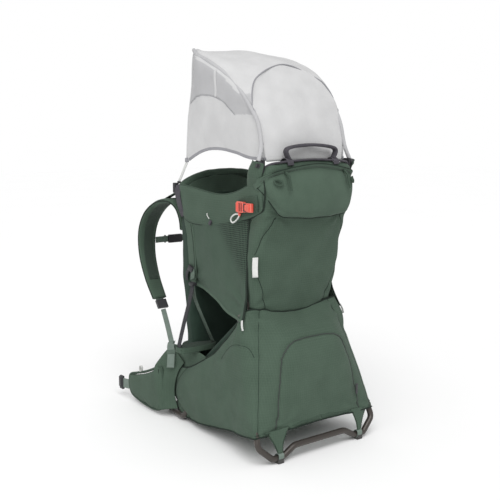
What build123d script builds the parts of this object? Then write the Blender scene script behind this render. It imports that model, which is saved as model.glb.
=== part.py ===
"""Framed child carrier backpack, as separate pieces in one frame.

+Z is up and the ground is Z = 0. +Y points to the wearer, who stands in front of the back panel.
X = 0 is the plane of symmetry, and -X is the wearer's left. All sizes are in millimetres.
"""
import os

from build123d import *

os.makedirs("parts", exist_ok=True)

# ---------------------------------------------------------------- driving dimensions
GAP = 0.5                   # clearance between neighbouring soft or moulded pieces
PIN_R = 4.0                 # hinge pins of the kickstand and the sunshade
PIN_FIT = 0.05              # radial running clearance on those pins

TUBE_R = 8.0                # main frame, base bar and kickstand tube
REAR_TUBE_R = 6.0
RAIL_R = 5.0
STRUT_R = 7.0
UPRIGHT_X = 130.0           # half spacing of the frame uprights
LOWER_UPRIGHT_X = 135.0
BACK_Y = 28.0               # lower run of the back frame
REAR_FRAME_Y = -225.0
FOOT_TUBE_Z = 12.0          # centre height of the tubes that stand on the ground
JOINT_Z = 150.0             # where the back frame meets the base bar
FRONT_Y = 147.0             # front run of the base bar

KICK_PIVOT = (-226.0, 340.0)            # Y, Z of the kickstand's hinge line
KICK_EYE_X = (143.0, 160.0)
KICK_FOOT_Y = -352.0
KICK_FOOT_X = 155.0
KICK_BULGE_X = 194.0

SHADE_PIVOT = (-288.0, 730.0)           # Y, Z of the sunshade's hinge line
SHADE_HUB_X = (146.0, 156.0)
POLE_R = 3.5

BAG_HALF = 137.0            # half width of the upper bag
SIDE_X = (138.0, 150.0)     # padded cockpit side panels
MESH_X = (138.0, 141.0)
PAD_HALF = 118.0            # half width of the back panel, between the uprights

STRAP_X = 100.0             # centre of each shoulder strap
STRAP_W = 64.0
STRAP_T = 14.0
WEB_T = 2.0                 # thickness of plain webbing
HIP_X = (187.0, 203.0)      # hip pads
HIP_PIVOT = (195.0, 113.0)  # X, Y of the hip pads' hinge lines

SIDES = {"left": -1, "right": 1}


# ---------------------------------------------------------------- shared shapes
def save(piece, node):
    """Label a finished piece and write its STEP file."""
    piece.part.label = node
    export_step(piece.part, f"parts/{node}.step")


def tube(points, radius, bends):
    """Round tube along straight runs joined by arcs."""
    with BuildPart() as piece:
        with BuildLine() as path:
            FilletPolyline(*points, radius=bends)
        with BuildSketch(Plane(origin=path.line @ 0, z_dir=path.line % 0)):
            Circle(radius)
        sweep(path=path.line)
    return piece


def sleeve(points, outer, inner, bends):
    """Padded sleeve around a tube of the same path."""
    with BuildPart() as piece:
        with BuildLine() as path:
            FilletPolyline(*points, radius=bends)
        with BuildSketch(Plane(origin=path.line @ 0, z_dir=path.line % 0)):
            Circle(outer)
            Circle(inner, mode=Mode.SUBTRACT)
        sweep(path=path.line)
    return piece


def ribbon(points, width, thickness, bends, across=(1, 0, 0)):
    """Flat strap along a path, with its width along the given direction."""
    with BuildPart() as piece:
        with BuildLine() as path:
            FilletPolyline(*points, radius=bends)
        with BuildSketch(Plane(origin=path.line @ 0, x_dir=across, z_dir=path.line % 0)):
            Rectangle(width, thickness)
        sweep(path=path.line)
    return piece


def straight_bar(start, end, radius):
    """Round bar between two points."""
    with BuildPart() as piece:
        with BuildLine() as path:
            Line(start, end)
        with BuildSketch(Plane(origin=path.line @ 0, z_dir=path.line % 0)):
            Circle(radius)
        sweep(path=path.line)
    return piece


def straight_ribbon(start, end, width, thickness):
    """Flat bar between two points, with its width along X."""
    with BuildPart() as piece:
        with BuildLine() as path:
            Line(start, end)
        with BuildSketch(Plane(origin=path.line @ 0, x_dir=(1, 0, 0), z_dir=path.line % 0)):
            Rectangle(width, thickness)
        sweep(path=path.line)
    return piece


def slab(outline, x_low, x_high):
    """Panel with an outline in Y and Z, between two values of X."""
    with BuildPart() as piece:
        with BuildSketch(Plane.YZ.offset(x_low)):
            with BuildLine():
                Polyline(*outline, close=True)
            make_face()
        extrude(amount=x_high - x_low)
    return piece


def side_slab(outline, x_range, side):
    """Panel on one side of the carrier, between two distances from the middle."""
    x_low, x_high = sorted(side * x for x in x_range)
    return slab(outline, x_low, x_high)


def crossed(side_outline, front_outline, reach=400.0):
    """Solid seen as one outline in Y and Z and as another in X and Z."""
    with BuildPart() as piece:
        with BuildSketch(Plane.YZ):
            with BuildLine():
                Polyline(*side_outline, close=True)
            make_face()
        extrude(amount=reach, both=True)
        with BuildSketch(Plane.XZ):
            with BuildLine():
                Polyline(*front_outline, close=True)
            make_face()
        extrude(amount=reach, both=True, mode=Mode.INTERSECT)
    return piece


def block(low, high, corner=0.0):
    """Box between two corners, with rounded edges where a corner radius is given."""
    with BuildPart() as piece:
        with BuildSketch(Plane.XY.offset(low[2])):
            with Locations(((low[0] + high[0]) / 2, (low[1] + high[1]) / 2)):
                Rectangle(high[0] - low[0], high[1] - low[1])
        extrude(amount=high[2] - low[2])
        if corner:
            fillet(piece.edges(), radius=corner)
    return piece


def side_block(low, high, side, corner=0.0):
    """The same box on either side: X is measured outwards from the middle."""
    x_low, x_high = sorted((side * low[0], side * high[0]))
    return block((x_low, low[1], low[2]), (x_high, high[1], high[2]), corner)


def rod(y, z, x_low, x_high, radius):
    """Cylinder along X."""
    with BuildPart() as piece:
        with BuildSketch(Plane.YZ.offset(x_low)):
            with Locations((y, z)):
                Circle(radius)
        extrude(amount=x_high - x_low)
    return piece


def joined(*pieces):
    """Several solids fused, or kept apart where they don't touch."""
    with BuildPart() as whole:
        for piece in pieces:
            add(piece.part)
    return whole


def cut(piece, *tools):
    """A piece with other shapes taken away."""
    with BuildPart() as rest:
        add(piece.part)
        for tool in tools:
            add(tool.part, mode=Mode.SUBTRACT)
    return rest


def pair(piece):
    """A piece and its mirror image on the other side."""
    with BuildPart() as both:
        add(piece.part)
        mirror(about=Plane.YZ)
    return both


def mirrored_path(half):
    """A path from the left to the right, from its left half."""
    return half + [(-x, y, z) for x, y, z in reversed(half)]


# ---------------------------------------------------------------- rigid frame
def back_frame():
    """Inverted U behind the wearer's back, curved like the spine and arched at the top."""
    half = [
        (-LOWER_UPRIGHT_X, BACK_Y, JOINT_Z),
        (-LOWER_UPRIGHT_X, BACK_Y, 270.0),
        (-UPRIGHT_X, 56.0, 410.0),
        (-UPRIGHT_X, 60.0, 540.0),
        (-UPRIGHT_X, 88.0, 640.0),
        (-60.0, 90.0, 685.0),
    ]
    return tube(mirrored_path(half), TUBE_R, [60, 60, 60, 22, 40, 40, 22, 60, 60, 60])


def base_bar():
    """U that lies on the ground in front and rises to the back frame at both ends."""
    half = [
        (-LOWER_UPRIGHT_X, BACK_Y, JOINT_Z),
        (-LOWER_UPRIGHT_X, BACK_Y, 100.0),
        (-166.0, BACK_Y, FOOT_TUBE_Z),
        (-150.0, FRONT_Y, FOOT_TUBE_Z),
    ]
    return tube(mirrored_path(half), TUBE_R, [30, 22, 25, 25, 22, 30])


def front_feet():
    """Flat glides under the front run of the base bar."""
    foot = block((80.0, FRONT_Y - 12.0, 0.0), (130.0, FRONT_Y + 12.0, FOOT_TUBE_Z))
    channel = rod(FRONT_Y, FOOT_TUBE_Z, 70.0, 140.0, TUBE_R + 0.2)
    return pair(cut(foot, channel))


def frame_sleeves():
    """Moulded couplings where the back frame meets the base bar."""
    with BuildPart() as piece:
        with BuildSketch(Plane.XY.offset(JOINT_Z - 26.0)):
            with Locations((LOWER_UPRIGHT_X, BACK_Y)):
                Circle(13.0)
                Circle(TUBE_R + 0.2, mode=Mode.SUBTRACT)
        extrude(amount=52.0)
    return pair(piece)


def rear_frame():
    """Inverted U that carries the upper bag."""
    half = [(-UPRIGHT_X, REAR_FRAME_Y, 352.0), (-UPRIGHT_X, REAR_FRAME_Y, 700.0)]
    return tube(mirrored_path(half), REAR_TUBE_R, 30.0)


def frame_strut(side):
    """Diagonal tube from a coupling up to a kickstand bracket."""
    x = side * 132.0
    return straight_bar((x, 8.0, 152.0), (x, -199.0, 326.0), STRUT_R)


def kick_brackets():
    """Brackets that join rear frame and struts, with the kickstand's pins."""
    y, z = KICK_PIVOT
    body = block((122.0, -245.0, 325.0), (142.0, -205.0, 351.5), 4.0)
    pin = rod(y, z, 140.0, 165.0, PIN_R)
    head = rod(y, z, 162.0, 165.0, 6.5)
    return pair(joined(body, pin, head))


def cockpit_rails():
    """Thin tubes along both sides of the cockpit, inside the padded panels."""
    rail = tube(
        [(UPRIGHT_X, 72.0, 628.0), (UPRIGHT_X, -90.0, 606.0), (UPRIGHT_X, -218.0, 632.0)],
        RAIL_R,
        120.0,
    )
    return pair(rail)


# ---------------------------------------------------------------- kickstand
def kickstand():
    """U-shaped stand: legs that bow outwards, and a bar that rises between the feet."""
    y, z = KICK_PIVOT
    eye_mid = sum(KICK_EYE_X) / 2
    half = [
        (-eye_mid, y, z),
        (-KICK_BULGE_X, -344.0, 46.0),
        (-KICK_FOOT_X, KICK_FOOT_Y, FOOT_TUBE_Z),
        (-122.0, KICK_FOOT_Y, FOOT_TUBE_Z),
        (-85.0, KICK_FOOT_Y, 33.0),
    ]
    body = tube(mirrored_path(half), TUBE_R, [22, 13, 20, 30, 30, 20, 13, 22])
    eye = pair(rod(y, z, *KICK_EYE_X, 13.0))
    bore = pair(rod(y, z, 130.0, 175.0, PIN_R + PIN_FIT))
    return cut(joined(body, eye), bore)


def kick_feet():
    """Flat rubber shoes on the kickstand's feet."""
    shoe = block((126.0, KICK_FOOT_Y - 10.0, 0.0), (143.0, KICK_FOOT_Y + 10.0, FOOT_TUBE_Z))
    channel = rod(KICK_FOOT_Y, FOOT_TUBE_Z, 110.0, 160.0, TUBE_R + 0.2)
    return pair(cut(shoe, channel))


COMPARTMENT_SIDE = [
    (10.0, 24.0), (10.0, 134.0), (-90.0, 216.0), (-204.0, 308.0), (-247.0, 321.0), (-250.0, 346.0),
    (-300.0, 338.0), (-350.0, 300.0), (-354.0, 200.0), (-352.0, 84.0), (-261.0, 60.0), (-165.0, 44.0),
    (-46.0, 27.0),
]
COMPARTMENT_CORE = [
    (20.0, 28.0), (20.0, 122.0), (-90.0, 211.0), (-205.0, 304.0), (-249.0, 317.0), (-252.0, 342.0),
    (-299.0, 334.0), (-346.0, 298.0), (-350.0, 200.0), (-348.0, 88.0), (-260.0, 64.0), (-165.0, 48.0),
    (-46.0, 31.0),
]


def trapezoid(top, bottom, low, high):
    """Front outline that widens downwards."""
    return [(-bottom, low), (-bottom, 110.0), (-top, 300.0), (-top, high), (top, high), (top, 300.0),
            (bottom, 110.0), (bottom, low)]


def lower_compartment():
    """Fabric bag between the frame and the kickstand: a thin shell, open to the front."""
    skin = crossed(COMPARTMENT_SIDE, trapezoid(139.0, 158.0, 10.0, 360.0))
    core = crossed(COMPARTMENT_CORE, trapezoid(136.0, 155.0, 5.0, 365.0))
    return cut(skin, core)


def base_cover():
    """Padded fabric cover at the foot of the back panel."""
    return slab([(46.0, 26.0), (84.0, 26.0), (104.0, 88.0), (100.0, 98.0), (46.0, 98.0)], -140.0, 140.0)


# ---------------------------------------------------------------- upper bag
def storage_body():
    """Upper bag, narrow at the waist and deeper at the top."""
    outline = [
        (-234.0, 352.0), (-250.0, 352.0), (-262.0, 440.0), (-272.0, 523.0), (-298.0, 590.0),
        (-318.0, 730.0), (-312.0, 734.0), (-234.0, 722.0),
    ]
    return slab(outline, -BAG_HALF, BAG_HALF)


def top_pocket():
    """Bulging pocket across the top of the bag."""
    outline = [(-300.6, 600.0), (-328.0, 598.0), (-341.0, 610.0), (-346.0, 660.0), (-336.0, 700.0),
               (-315.8, 708.0)]
    return slab(outline, -BAG_HALF, BAG_HALF)


def pocket_zip():
    """Zip chain along the seam above the pocket."""
    return slab([(-316.6, 710.0), (-320.6, 710.0), (-321.6, 718.0), (-317.6, 718.0)], -130.0, 130.0)


def top_piping():
    """Piping along the top edge of the bag."""
    return rod(-314.0, 737.5, -132.0, 132.0, 2.5)


def handle_loops():
    """Webbing stubs that the haul handle hangs on."""
    return pair(block((70.0, -310.0, 734.5), (84.0, -304.0, 741.5)))


HANDLE_PIVOT = (-307.0, 750.0)


def haul_handle():
    """Padded webbing loop on top of the bag."""
    y, z = HANDLE_PIVOT
    half = [(-74.0, y, z), (-84.0, y, 772.0)]
    return ribbon(mirrored_path(half), 14.0, 5.0, 14.0, across=(0, 1, 0))


def pocket_pull(side):
    """Cord pull that lies from the zip slider over the pocket's bulge."""
    outline = [(-322.5, 710.5), (-325.0, 714.0), (-339.5, 703.5), (-349.5, 668.0), (-347.5, 667.5),
               (-337.5, 701.5)]
    return side_slab(outline, (93.0, 99.0), side)


def lower_pull():
    """Cord pull that hangs on the rear face of the lower compartment."""
    return block((121.0, -358.0, 126.0), (127.0, -355.0, 153.0))


# ---------------------------------------------------------------- cockpit
def cockpit_side(side):
    """Padded panel along one side of the cockpit, with a dipping rim."""
    outline = [
        (72.0, 649.0), (-30.0, 631.0), (-120.0, 626.0), (-190.0, 640.0), (-240.0, 664.0), (-276.0, 680.0),
        (-272.0, 600.0), (-233.0, 581.0), (-88.0, 561.0), (23.0, 556.0), (46.0, 560.0),
    ]
    return side_slab(outline, SIDE_X, side)


def side_mesh(side):
    """Mesh panel from the padded side down to its sloping lower edge."""
    outline = [
        (40.0, 557.5), (23.0, 555.0), (-88.0, 560.0), (-214.0, 577.5), (-214.0, 353.0), (-203.0, 353.0),
        (-203.0, 333.0), (21.0, 395.0), (40.0, 412.0),
    ]
    return side_slab(outline, MESH_X, side)


def front_rim_pad():
    """Padded sleeve on the arched top of the back frame."""
    half = [(-102.0, 88.8, 658.0), (-60.0, 90.0, 685.0)]
    return sleeve(mirrored_path(half), 17.0, TUBE_R + 0.3, 40.0)


def drool_pad():
    """Face pad that hangs on the child's side of the front rim."""
    return block((-104.0, 43.0, 592.0), (104.0, 58.0, 664.0), 5.0)


def back_panel():
    """Ventilated back panel between the uprights, curved like the spine."""
    outline = [
        (18.0, 236.0), (20.0, 340.0), (46.0, 412.0), (50.0, 540.0), (66.0, 606.0), (80.0, 606.0),
        (66.0, 540.0), (60.0, 412.0), (34.0, 340.0), (32.0, 236.0),
    ]
    return slab(outline, -PAD_HALF, PAD_HALF)


def lumbar_pad():
    """Lower back pad above the hip pads."""
    outline = [(46.0, 102.0), (108.0, 102.0), (121.0, 149.0), (104.0, 216.0), (46.0, 222.0)]
    return slab(outline, -138.0, 138.0)


def hip_roots():
    """Padded bridges from the lumbar pad out to the hip pads."""
    return pair(block((139.0, 104.0, 64.0), (178.0, 122.0, 140.0), 4.0))


def strap_tabs():
    """Sewn triangles that hold the lower ends of the shoulder webbing."""
    return pair(slab([(120.0, 204.0), (126.0, 194.0), (60.0, 135.0), (46.0, 152.0)], 141.0, 143.0))


def side_receivers():
    """Female halves of the side release buckles, on the padded sides."""
    body = block((150.5, -238.0, 611.0), (160.5, -212.0, 637.0), 2.0)
    slot = block((153.0, -240.0, 615.0), (158.0, -220.0, 633.0))
    return pair(cut(body, slot))


def side_clip(side):
    """Male half of a side release buckle, with its tongue in the receiver."""
    body = side_block((151.0, -270.0, 613.0), (160.0, -238.5, 635.0), side, 2.0)
    tongue = side_block((153.4, -240.6, 615.4), (157.6, -222.0, 632.6), side)
    return joined(body, tongue)


def pull_loops():
    """Light webbing loops below the side buckles."""
    loop = slab([(-202.0, 600.0), (-190.0, 604.0), (-184.0, 588.0), (-198.0, 586.0)], 150.5, 152.5)
    return pair(loop)


def anchor_hooks():
    """Hooks at the front of the cockpit that hold the sunshade's straps."""
    return pair(block((134.0, 98.5, 640.0), (146.0, 112.0, 668.0), 2.0))


# ---------------------------------------------------------------- child seat
def seat_pad():
    """Saddle that the child sits on."""
    with BuildPart() as piece:
        with BuildSketch(Plane.XY.offset(372.0)):
            with BuildLine():
                Polyline(
                    (-88.0, -190.0), (88.0, -190.0), (80.0, -110.0), (40.0, -10.0), (-40.0, -10.0),
                    (-80.0, -110.0), close=True,
                )
            make_face()
        extrude(amount=20.0)
        fillet(piece.edges(), radius=6.0)
    return piece


def seat_back_pad():
    """Pad behind the child's back."""
    return block((-88.0, -216.0, 396.0), (88.0, -194.0, 600.0), 8.0)


def seat_harness():
    """Shoulder straps of the child's harness, and the buckle on the saddle."""
    strap = ribbon([(36.0, -190.0, 592.0), (34.0, -189.0, 400.0), (22.0, -60.0, 395.5)], 24.0, 3.0, 10.0)
    buckle = block((-24.0, -58.0, 394.0), (24.0, -26.0, 406.0), 3.0)
    return joined(pair(strap), buckle)


# ---------------------------------------------------------------- stirrups
STIRRUP_APEX = (156.0, -2.0, 400.0)


def stirrup(side):
    """Foot sling: two straps that hang from one ring and hold a flat platform."""
    x, y, z = STIRRUP_APEX
    outline_x = 147.0
    half_width = 60.0
    platform_z = (208.0, 230.0)
    platform = side_block(
        (outline_x - half_width, y - 17.0, platform_z[0]),
        (outline_x + half_width, y + 17.0, platform_z[1]), side, 4.0,
    )
    with BuildPart() as straps:
        with BuildSketch(Plane.XZ.offset(-y - 9.0)):
            with BuildLine():
                Polyline(
                    (side * (outline_x - half_width + 2.0), platform_z[1] - 6.0), (side * (x - 6.0), z),
                    (side * (x + 6.0), z), (side * (outline_x + half_width - 2.0), platform_z[1] - 6.0),
                    close=True,
                )
            make_face()
            with BuildLine():
                Polyline(
                    (side * (outline_x - half_width + 8.0), platform_z[1] - 8.0), (side * x, z - 12.0),
                    (side * (outline_x + half_width - 8.0), platform_z[1] - 8.0), close=True,
                )
            make_face(mode=Mode.SUBTRACT)
        extrude(amount=18.0)
    return joined(platform, straps)


# ---------------------------------------------------------------- wearer's harness
def harness_yoke():
    """Plate that carries both shoulder straps and slides on the back panel."""
    return block((-66.0, 84.0, 520.0), (66.0, 96.0, 592.0), 4.0)


def shoulder_strap(side):
    """Curved padded strap from the yoke over the shoulder and down the chest."""
    x = side * STRAP_X
    points = [
        (x, 105.0, 540.0), (x, 105.0, 588.0), (x, 165.0, 610.0), (x, 232.0, 604.0), (x, 296.0, 568.0),
        (x, 338.0, 512.0), (x, 340.0, 440.0), (x, 312.0, 368.0), (x, 268.0, 306.0),
    ]
    return ribbon(points, STRAP_W, STRAP_T, [18, 40, 50, 40, 40, 40, 60])


def strap_locks():
    """Ladder locks at the lower ends of the shoulder straps."""
    return pair(straight_ribbon((STRAP_X, 266.0, 303.0), (STRAP_X, 250.0, 281.0), 34.0, 8.0))


def harness_webbing():
    """Adjusting webbing from the ladder locks to the sewn triangles."""
    top = (STRAP_X + 2.0, 247.0, 278.0)
    return pair(straight_ribbon(top, (142.0, 132.0, 202.0), 22.0, WEB_T))


def load_lifters():
    """Short straps from the frame's top to the top of the shoulder straps."""
    top = (STRAP_X + 6.0, 112.0, 650.0)
    return pair(straight_ribbon(top, (STRAP_X + 2.0, 212.0, 621.0), 18.0, WEB_T))


def sternum_strap():
    """Chest webbing between the shoulder straps, with a rail clip at each end."""
    band = block((-67.0, 338.0, 468.0), (67.0, 340.0, 486.0))
    clip = block((58.0, 334.0, 464.0), (67.5, 344.0, 490.0), 1.5)
    gap_for_buckle = block((-25.0, 330.0, 460.0), (25.0, 350.0, 495.0))
    return cut(joined(band, pair(clip)), gap_for_buckle)


def sternum_buckle():
    """Side-release buckle in the middle of the chest webbing."""
    return block((-24.5, 334.0, 464.0), (24.5, 344.0, 490.0), 3.0)


# ---------------------------------------------------------------- hip belt
def hip_pad(side):
    """Hip fin, wide at the root and blunt at the tip."""
    outline = [
        (43.0, 30.0), (120.0, 12.0), (170.0, 8.0), (300.0, 14.0), (298.0, 86.0), (222.0, 104.0),
        (162.0, 127.0), (111.0, 148.0), (74.0, 118.0), (46.0, 60.0),
    ]
    return side_slab(outline, HIP_X, side)


def hip_belt(side):
    """Webbing out of the fin's tip, and the half buckle on its end."""
    x = sum(HIP_X) / 2
    webbing = side_block((x - 1.0, 300.5, 24.0), (x + 1.0, 336.0, 62.0), side)
    buckle = side_block((x - 6.0, 334.0, 20.0), (x + 6.0, -KICK_FOOT_Y + 10.0, 66.0), side, 2.0)
    return joined(webbing, buckle)


# ---------------------------------------------------------------- sunshade
def shade_sockets():
    """Sockets beside the bag's top corners, with the sunshade's pins."""
    y, z = SHADE_PIVOT
    body = block((138.0, y - 11.0, z - 20.0), (145.5, y + 11.0, z + 11.0), 2.0)
    pin = rod(y, z, 144.0, 160.0, PIN_R)
    head = rod(y, z, SHADE_HUB_X[1] + GAP, 160.0, 7.0)
    return pair(joined(body, pin, head))


def shade_pole(side):
    """Sprung pole from its hub up and forward to the front corner."""
    y, z = SHADE_PIVOT
    hub_x = sum(SHADE_HUB_X) / 2
    points = [
        (side * hub_x, y, z + 6.0), (side * 137.0, -281.0, 775.0), (side * 135.5, -267.0, 828.0),
        (side * 139.0, -244.0, 864.0), (side * 145.0, -208.0, 908.0), (side * 150.0, -152.0, 952.0),
        (side * 154.0, -84.0, 986.0), (side * 146.0, -20.0, 1008.0), (side * 110.0, 51.0, 1027.0),
    ]
    pole = tube(points, POLE_R, [30, 40, 60, 60, 60, 60, 60])
    x_low, x_high = sorted(side * x for x in SHADE_HUB_X)
    hub = rod(y, z, x_low, x_high, 10.0)
    bore = rod(y, z, x_low - 5.0, x_high + 5.0, PIN_R + PIN_FIT)
    return cut(joined(pole, hub), bore)


SHADE_CROWN = [(51.0, 1036.0), (-20.0, 1030.0), (-100.0, 1013.0), (-197.0, 984.0)]
SHADE_REAR = [(-235.0, 893.0), (-262.0, 848.0), (-278.0, 800.0), (-281.0, 752.0)]
SHADE_HEM = [(-228.0, 744.0), (-186.0, 753.0), (-121.0, 762.0), (-48.0, 764.0), (35.0, 733.0),
             (60.0, 724.0)]


def shade_front(half, shoulder, top, low, high):
    """Front outline of the sunshade: sides that bow out to the poles, sloping shoulders and a flat crown."""
    near = [(-half, low), (-half, 828.0), (-half - 9.0, 908.0), (-half - 16.5, 978.0), (-half - 7.0, 1002.0),
            (-shoulder, top)]
    return near + [(0.0, high)] + [(-x, z) for x, z in reversed(near)]


def shade_canopy():
    """Roof and side curtains in one thin shell, open at the front, the bottom and the rear."""
    skin = crossed(SHADE_CROWN + SHADE_REAR + SHADE_HEM, shade_front(131.0, 103.0, 1022.0, 700.0, 1036.0))
    core_side = [(70.0, 1034.5), (51.0, 1032.5), (-20.0, 1026.5), (-100.0, 1009.5), (-205.0, 978.0),
                 (-300.0, 940.0), (-300.0, 690.0), (70.0, 690.0)]
    core = crossed(core_side, shade_front(128.0, 100.5, 1018.5, 690.0, 1032.5))
    return cut(skin, core)


def shade_rear_panel():
    """Rear gore between the poles, from the bag's top up to the roof's rear edge."""
    outline = [
        (-288.0, 752.0), (-279.0, 800.0), (-262.0, 850.0), (-238.0, 895.0), (-202.0, 968.0),
        (-199.0, 967.0), (-235.0, 894.0), (-259.0, 849.0), (-276.0, 799.0), (-285.0, 752.0),
    ]
    return crossed(outline, shade_front(126.0, 98.0, 1016.0, 700.0, 1030.0))


def shade_straps():
    """Tension straps from the front lower corners to the anchor hooks."""
    return pair(slab([(46.0, 728.0), (62.0, 728.0), (116.0, 664.0), (105.0, 654.0)], 131.5, 133.5))


# ---------------------------------------------------------------- write every piece
save(back_frame(), "back_frame")
save(base_bar(), "base_bar")
save(front_feet(), "front_feet")
save(frame_sleeves(), "frame_sleeves")
save(rear_frame(), "rear_frame")
save(kick_brackets(), "kick_brackets")
save(cockpit_rails(), "cockpit_rails")
save(kickstand(), "kickstand")
save(kick_feet(), "kick_feet")
save(lower_compartment(), "lower_compartment")
save(base_cover(), "base_cover")
save(storage_body(), "storage_body")
save(top_pocket(), "top_pocket")
save(pocket_zip(), "pocket_zip")
save(top_piping(), "top_piping")
save(handle_loops(), "handle_loops")
save(haul_handle(), "haul_handle")
save(front_rim_pad(), "front_rim_pad")
save(drool_pad(), "drool_pad")
save(back_panel(), "back_panel")
save(lumbar_pad(), "lumbar_pad")
save(hip_roots(), "hip_roots")
save(strap_tabs(), "strap_tabs")
save(side_receivers(), "side_receivers")
save(pull_loops(), "pull_loops")
save(anchor_hooks(), "anchor_hooks")
save(seat_pad(), "seat_pad")
save(seat_back_pad(), "seat_back_pad")
save(seat_harness(), "seat_harness")
save(harness_yoke(), "harness_yoke")
save(strap_locks(), "strap_locks")
save(harness_webbing(), "harness_webbing")
save(load_lifters(), "load_lifters")
save(sternum_strap(), "sternum_strap")
save(sternum_buckle(), "sternum_buckle")
save(shade_sockets(), "shade_sockets")
save(shade_canopy(), "shade_canopy")
save(shade_rear_panel(), "shade_rear_panel")
save(shade_straps(), "shade_straps")
for name, sign in SIDES.items():
    save(frame_strut(sign), f"frame_strut_{name}")
    save(cockpit_side(sign), f"cockpit_side_{name}")
    save(side_mesh(sign), f"side_mesh_{name}")
    save(side_clip(sign), f"side_clip_{name}")
    save(stirrup(sign), f"stirrup_{name}")
    save(shoulder_strap(sign), f"shoulder_strap_{name}")
    save(hip_pad(sign), f"hip_pad_{name}")
    save(hip_belt(sign), f"hip_belt_{name}")
    save(shade_pole(sign), f"shade_pole_{name}")
    save(pocket_pull(sign), f"pocket_pull_{name}")
save(lower_pull(), "lower_pull")
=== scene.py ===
import math

import bmesh
import bpy
import numpy as np
from mathutils import Euler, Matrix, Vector


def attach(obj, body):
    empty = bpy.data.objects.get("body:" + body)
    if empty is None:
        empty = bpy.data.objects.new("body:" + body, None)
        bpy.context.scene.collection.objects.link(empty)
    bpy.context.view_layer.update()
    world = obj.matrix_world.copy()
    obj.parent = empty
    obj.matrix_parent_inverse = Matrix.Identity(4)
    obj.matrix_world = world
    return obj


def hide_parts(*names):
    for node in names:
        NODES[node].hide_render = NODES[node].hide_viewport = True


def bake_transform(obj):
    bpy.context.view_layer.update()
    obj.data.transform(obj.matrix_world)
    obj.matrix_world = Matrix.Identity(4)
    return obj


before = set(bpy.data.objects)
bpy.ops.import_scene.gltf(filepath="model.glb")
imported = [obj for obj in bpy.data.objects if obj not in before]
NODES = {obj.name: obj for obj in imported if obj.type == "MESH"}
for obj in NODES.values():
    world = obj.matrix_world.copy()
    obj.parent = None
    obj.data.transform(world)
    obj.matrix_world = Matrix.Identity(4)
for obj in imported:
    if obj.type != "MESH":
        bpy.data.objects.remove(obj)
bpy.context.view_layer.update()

# Baby carrier backpack. Points in the lists below are millimetres in the CAD frame:
# the child faces the wearer, who stands towards +Y, and Z is up.
# Soft pieces are drawn for the near side (X < 0) and mirrored.
MM = 0.001
WAVES = 7  # sine waves summed in a ripple
ROOM_LIGHT = 0.62  # strength of the room's own light
MESH_CELLS = (0.596, 0.640)  # metres along the panel's diagonal over which the open cells fade in
SIDES = (("left", 1), ("right", -1))


# ---------------------------------------------------------------- shape tools

def weights(count, t):
    """Catmull-Rom weights of count control points at the parameters t, from 0 to 1."""
    t = np.clip(np.asarray(t, float), 0, 1) * (count - 1)
    seg = np.minimum(t.astype(int), count - 2)
    f = t - seg
    cubic = (-f + 2 * f**2 - f**3, 2 - 5 * f**2 + 3 * f**3, f + 4 * f**2 - 3 * f**3, -(f**2) + f**3)
    w = np.zeros((len(t), count))
    rows = np.arange(len(t))
    for k, part in enumerate(cubic):
        index = seg + k - 1
        low, high = index < 0, index > count - 1
        inside = ~(low | high)
        np.add.at(w, (rows[inside], index[inside]), part[inside] / 2)
        # beyond an end the point is mirrored: 2 * end - next
        for out, end, nxt in ((low, 0, 1), (high, count - 1, count - 2)):
            np.add.at(w, (rows[out], np.full(out.sum(), end)), part[out])
            np.add.at(w, (rows[out], np.full(out.sum(), nxt)), -part[out] / 2)
    return w


def curve(points, n):
    """n points along a smooth curve through the control points."""
    p = np.array(points, float)
    fine = weights(len(p), np.linspace(0, 1, 12 * len(p))) @ p
    step = np.r_[0, np.cumsum(np.linalg.norm(np.diff(fine, axis=0), axis=1))]
    at = np.linspace(0, step[-1], n)
    return np.column_stack([np.interp(at, step, fine[:, k]) for k in range(3)])


def closed_curve(points, n):
    """n points round a smooth closed curve."""
    p = np.array(points, float)
    wrapped = np.vstack([p[-2:], p, p[:3]])
    k = len(wrapped)
    fine = weights(k, np.linspace(2 / (k - 1), (len(p) + 2) / (k - 1), 14 * len(p))) @ wrapped
    step = np.r_[0, np.cumsum(np.linalg.norm(np.diff(fine, axis=0), axis=1))]
    at = np.linspace(0, step[-1], n, endpoint=False)
    return np.column_stack([np.interp(at, step, fine[:, j]) for j in range(3)])


def whole(half):
    """A row of points from the near side to the middle, completed with its mirror image."""
    return list(half) + [(-x, y, z) for x, y, z in reversed(half[:-1])]


def flip(points, side):
    """The near side's points, or their mirror image where side is -1."""
    p = np.array(points, float)
    return p * (side, 1, 1)


def ripple(p, size, seed):
    """Smooth seeded waves of about that size, between -1 and 1, at the points p."""
    rng = np.random.default_rng(seed)
    total = np.zeros(p.shape[:-1])
    for _ in range(WAVES):
        k = rng.normal(size=3)
        k *= 2 * math.pi / size * rng.uniform(0.6, 1.6) / np.linalg.norm(k)
        total += np.sin(p @ k + rng.uniform(0, 2 * math.pi))
    return total / 4


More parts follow.
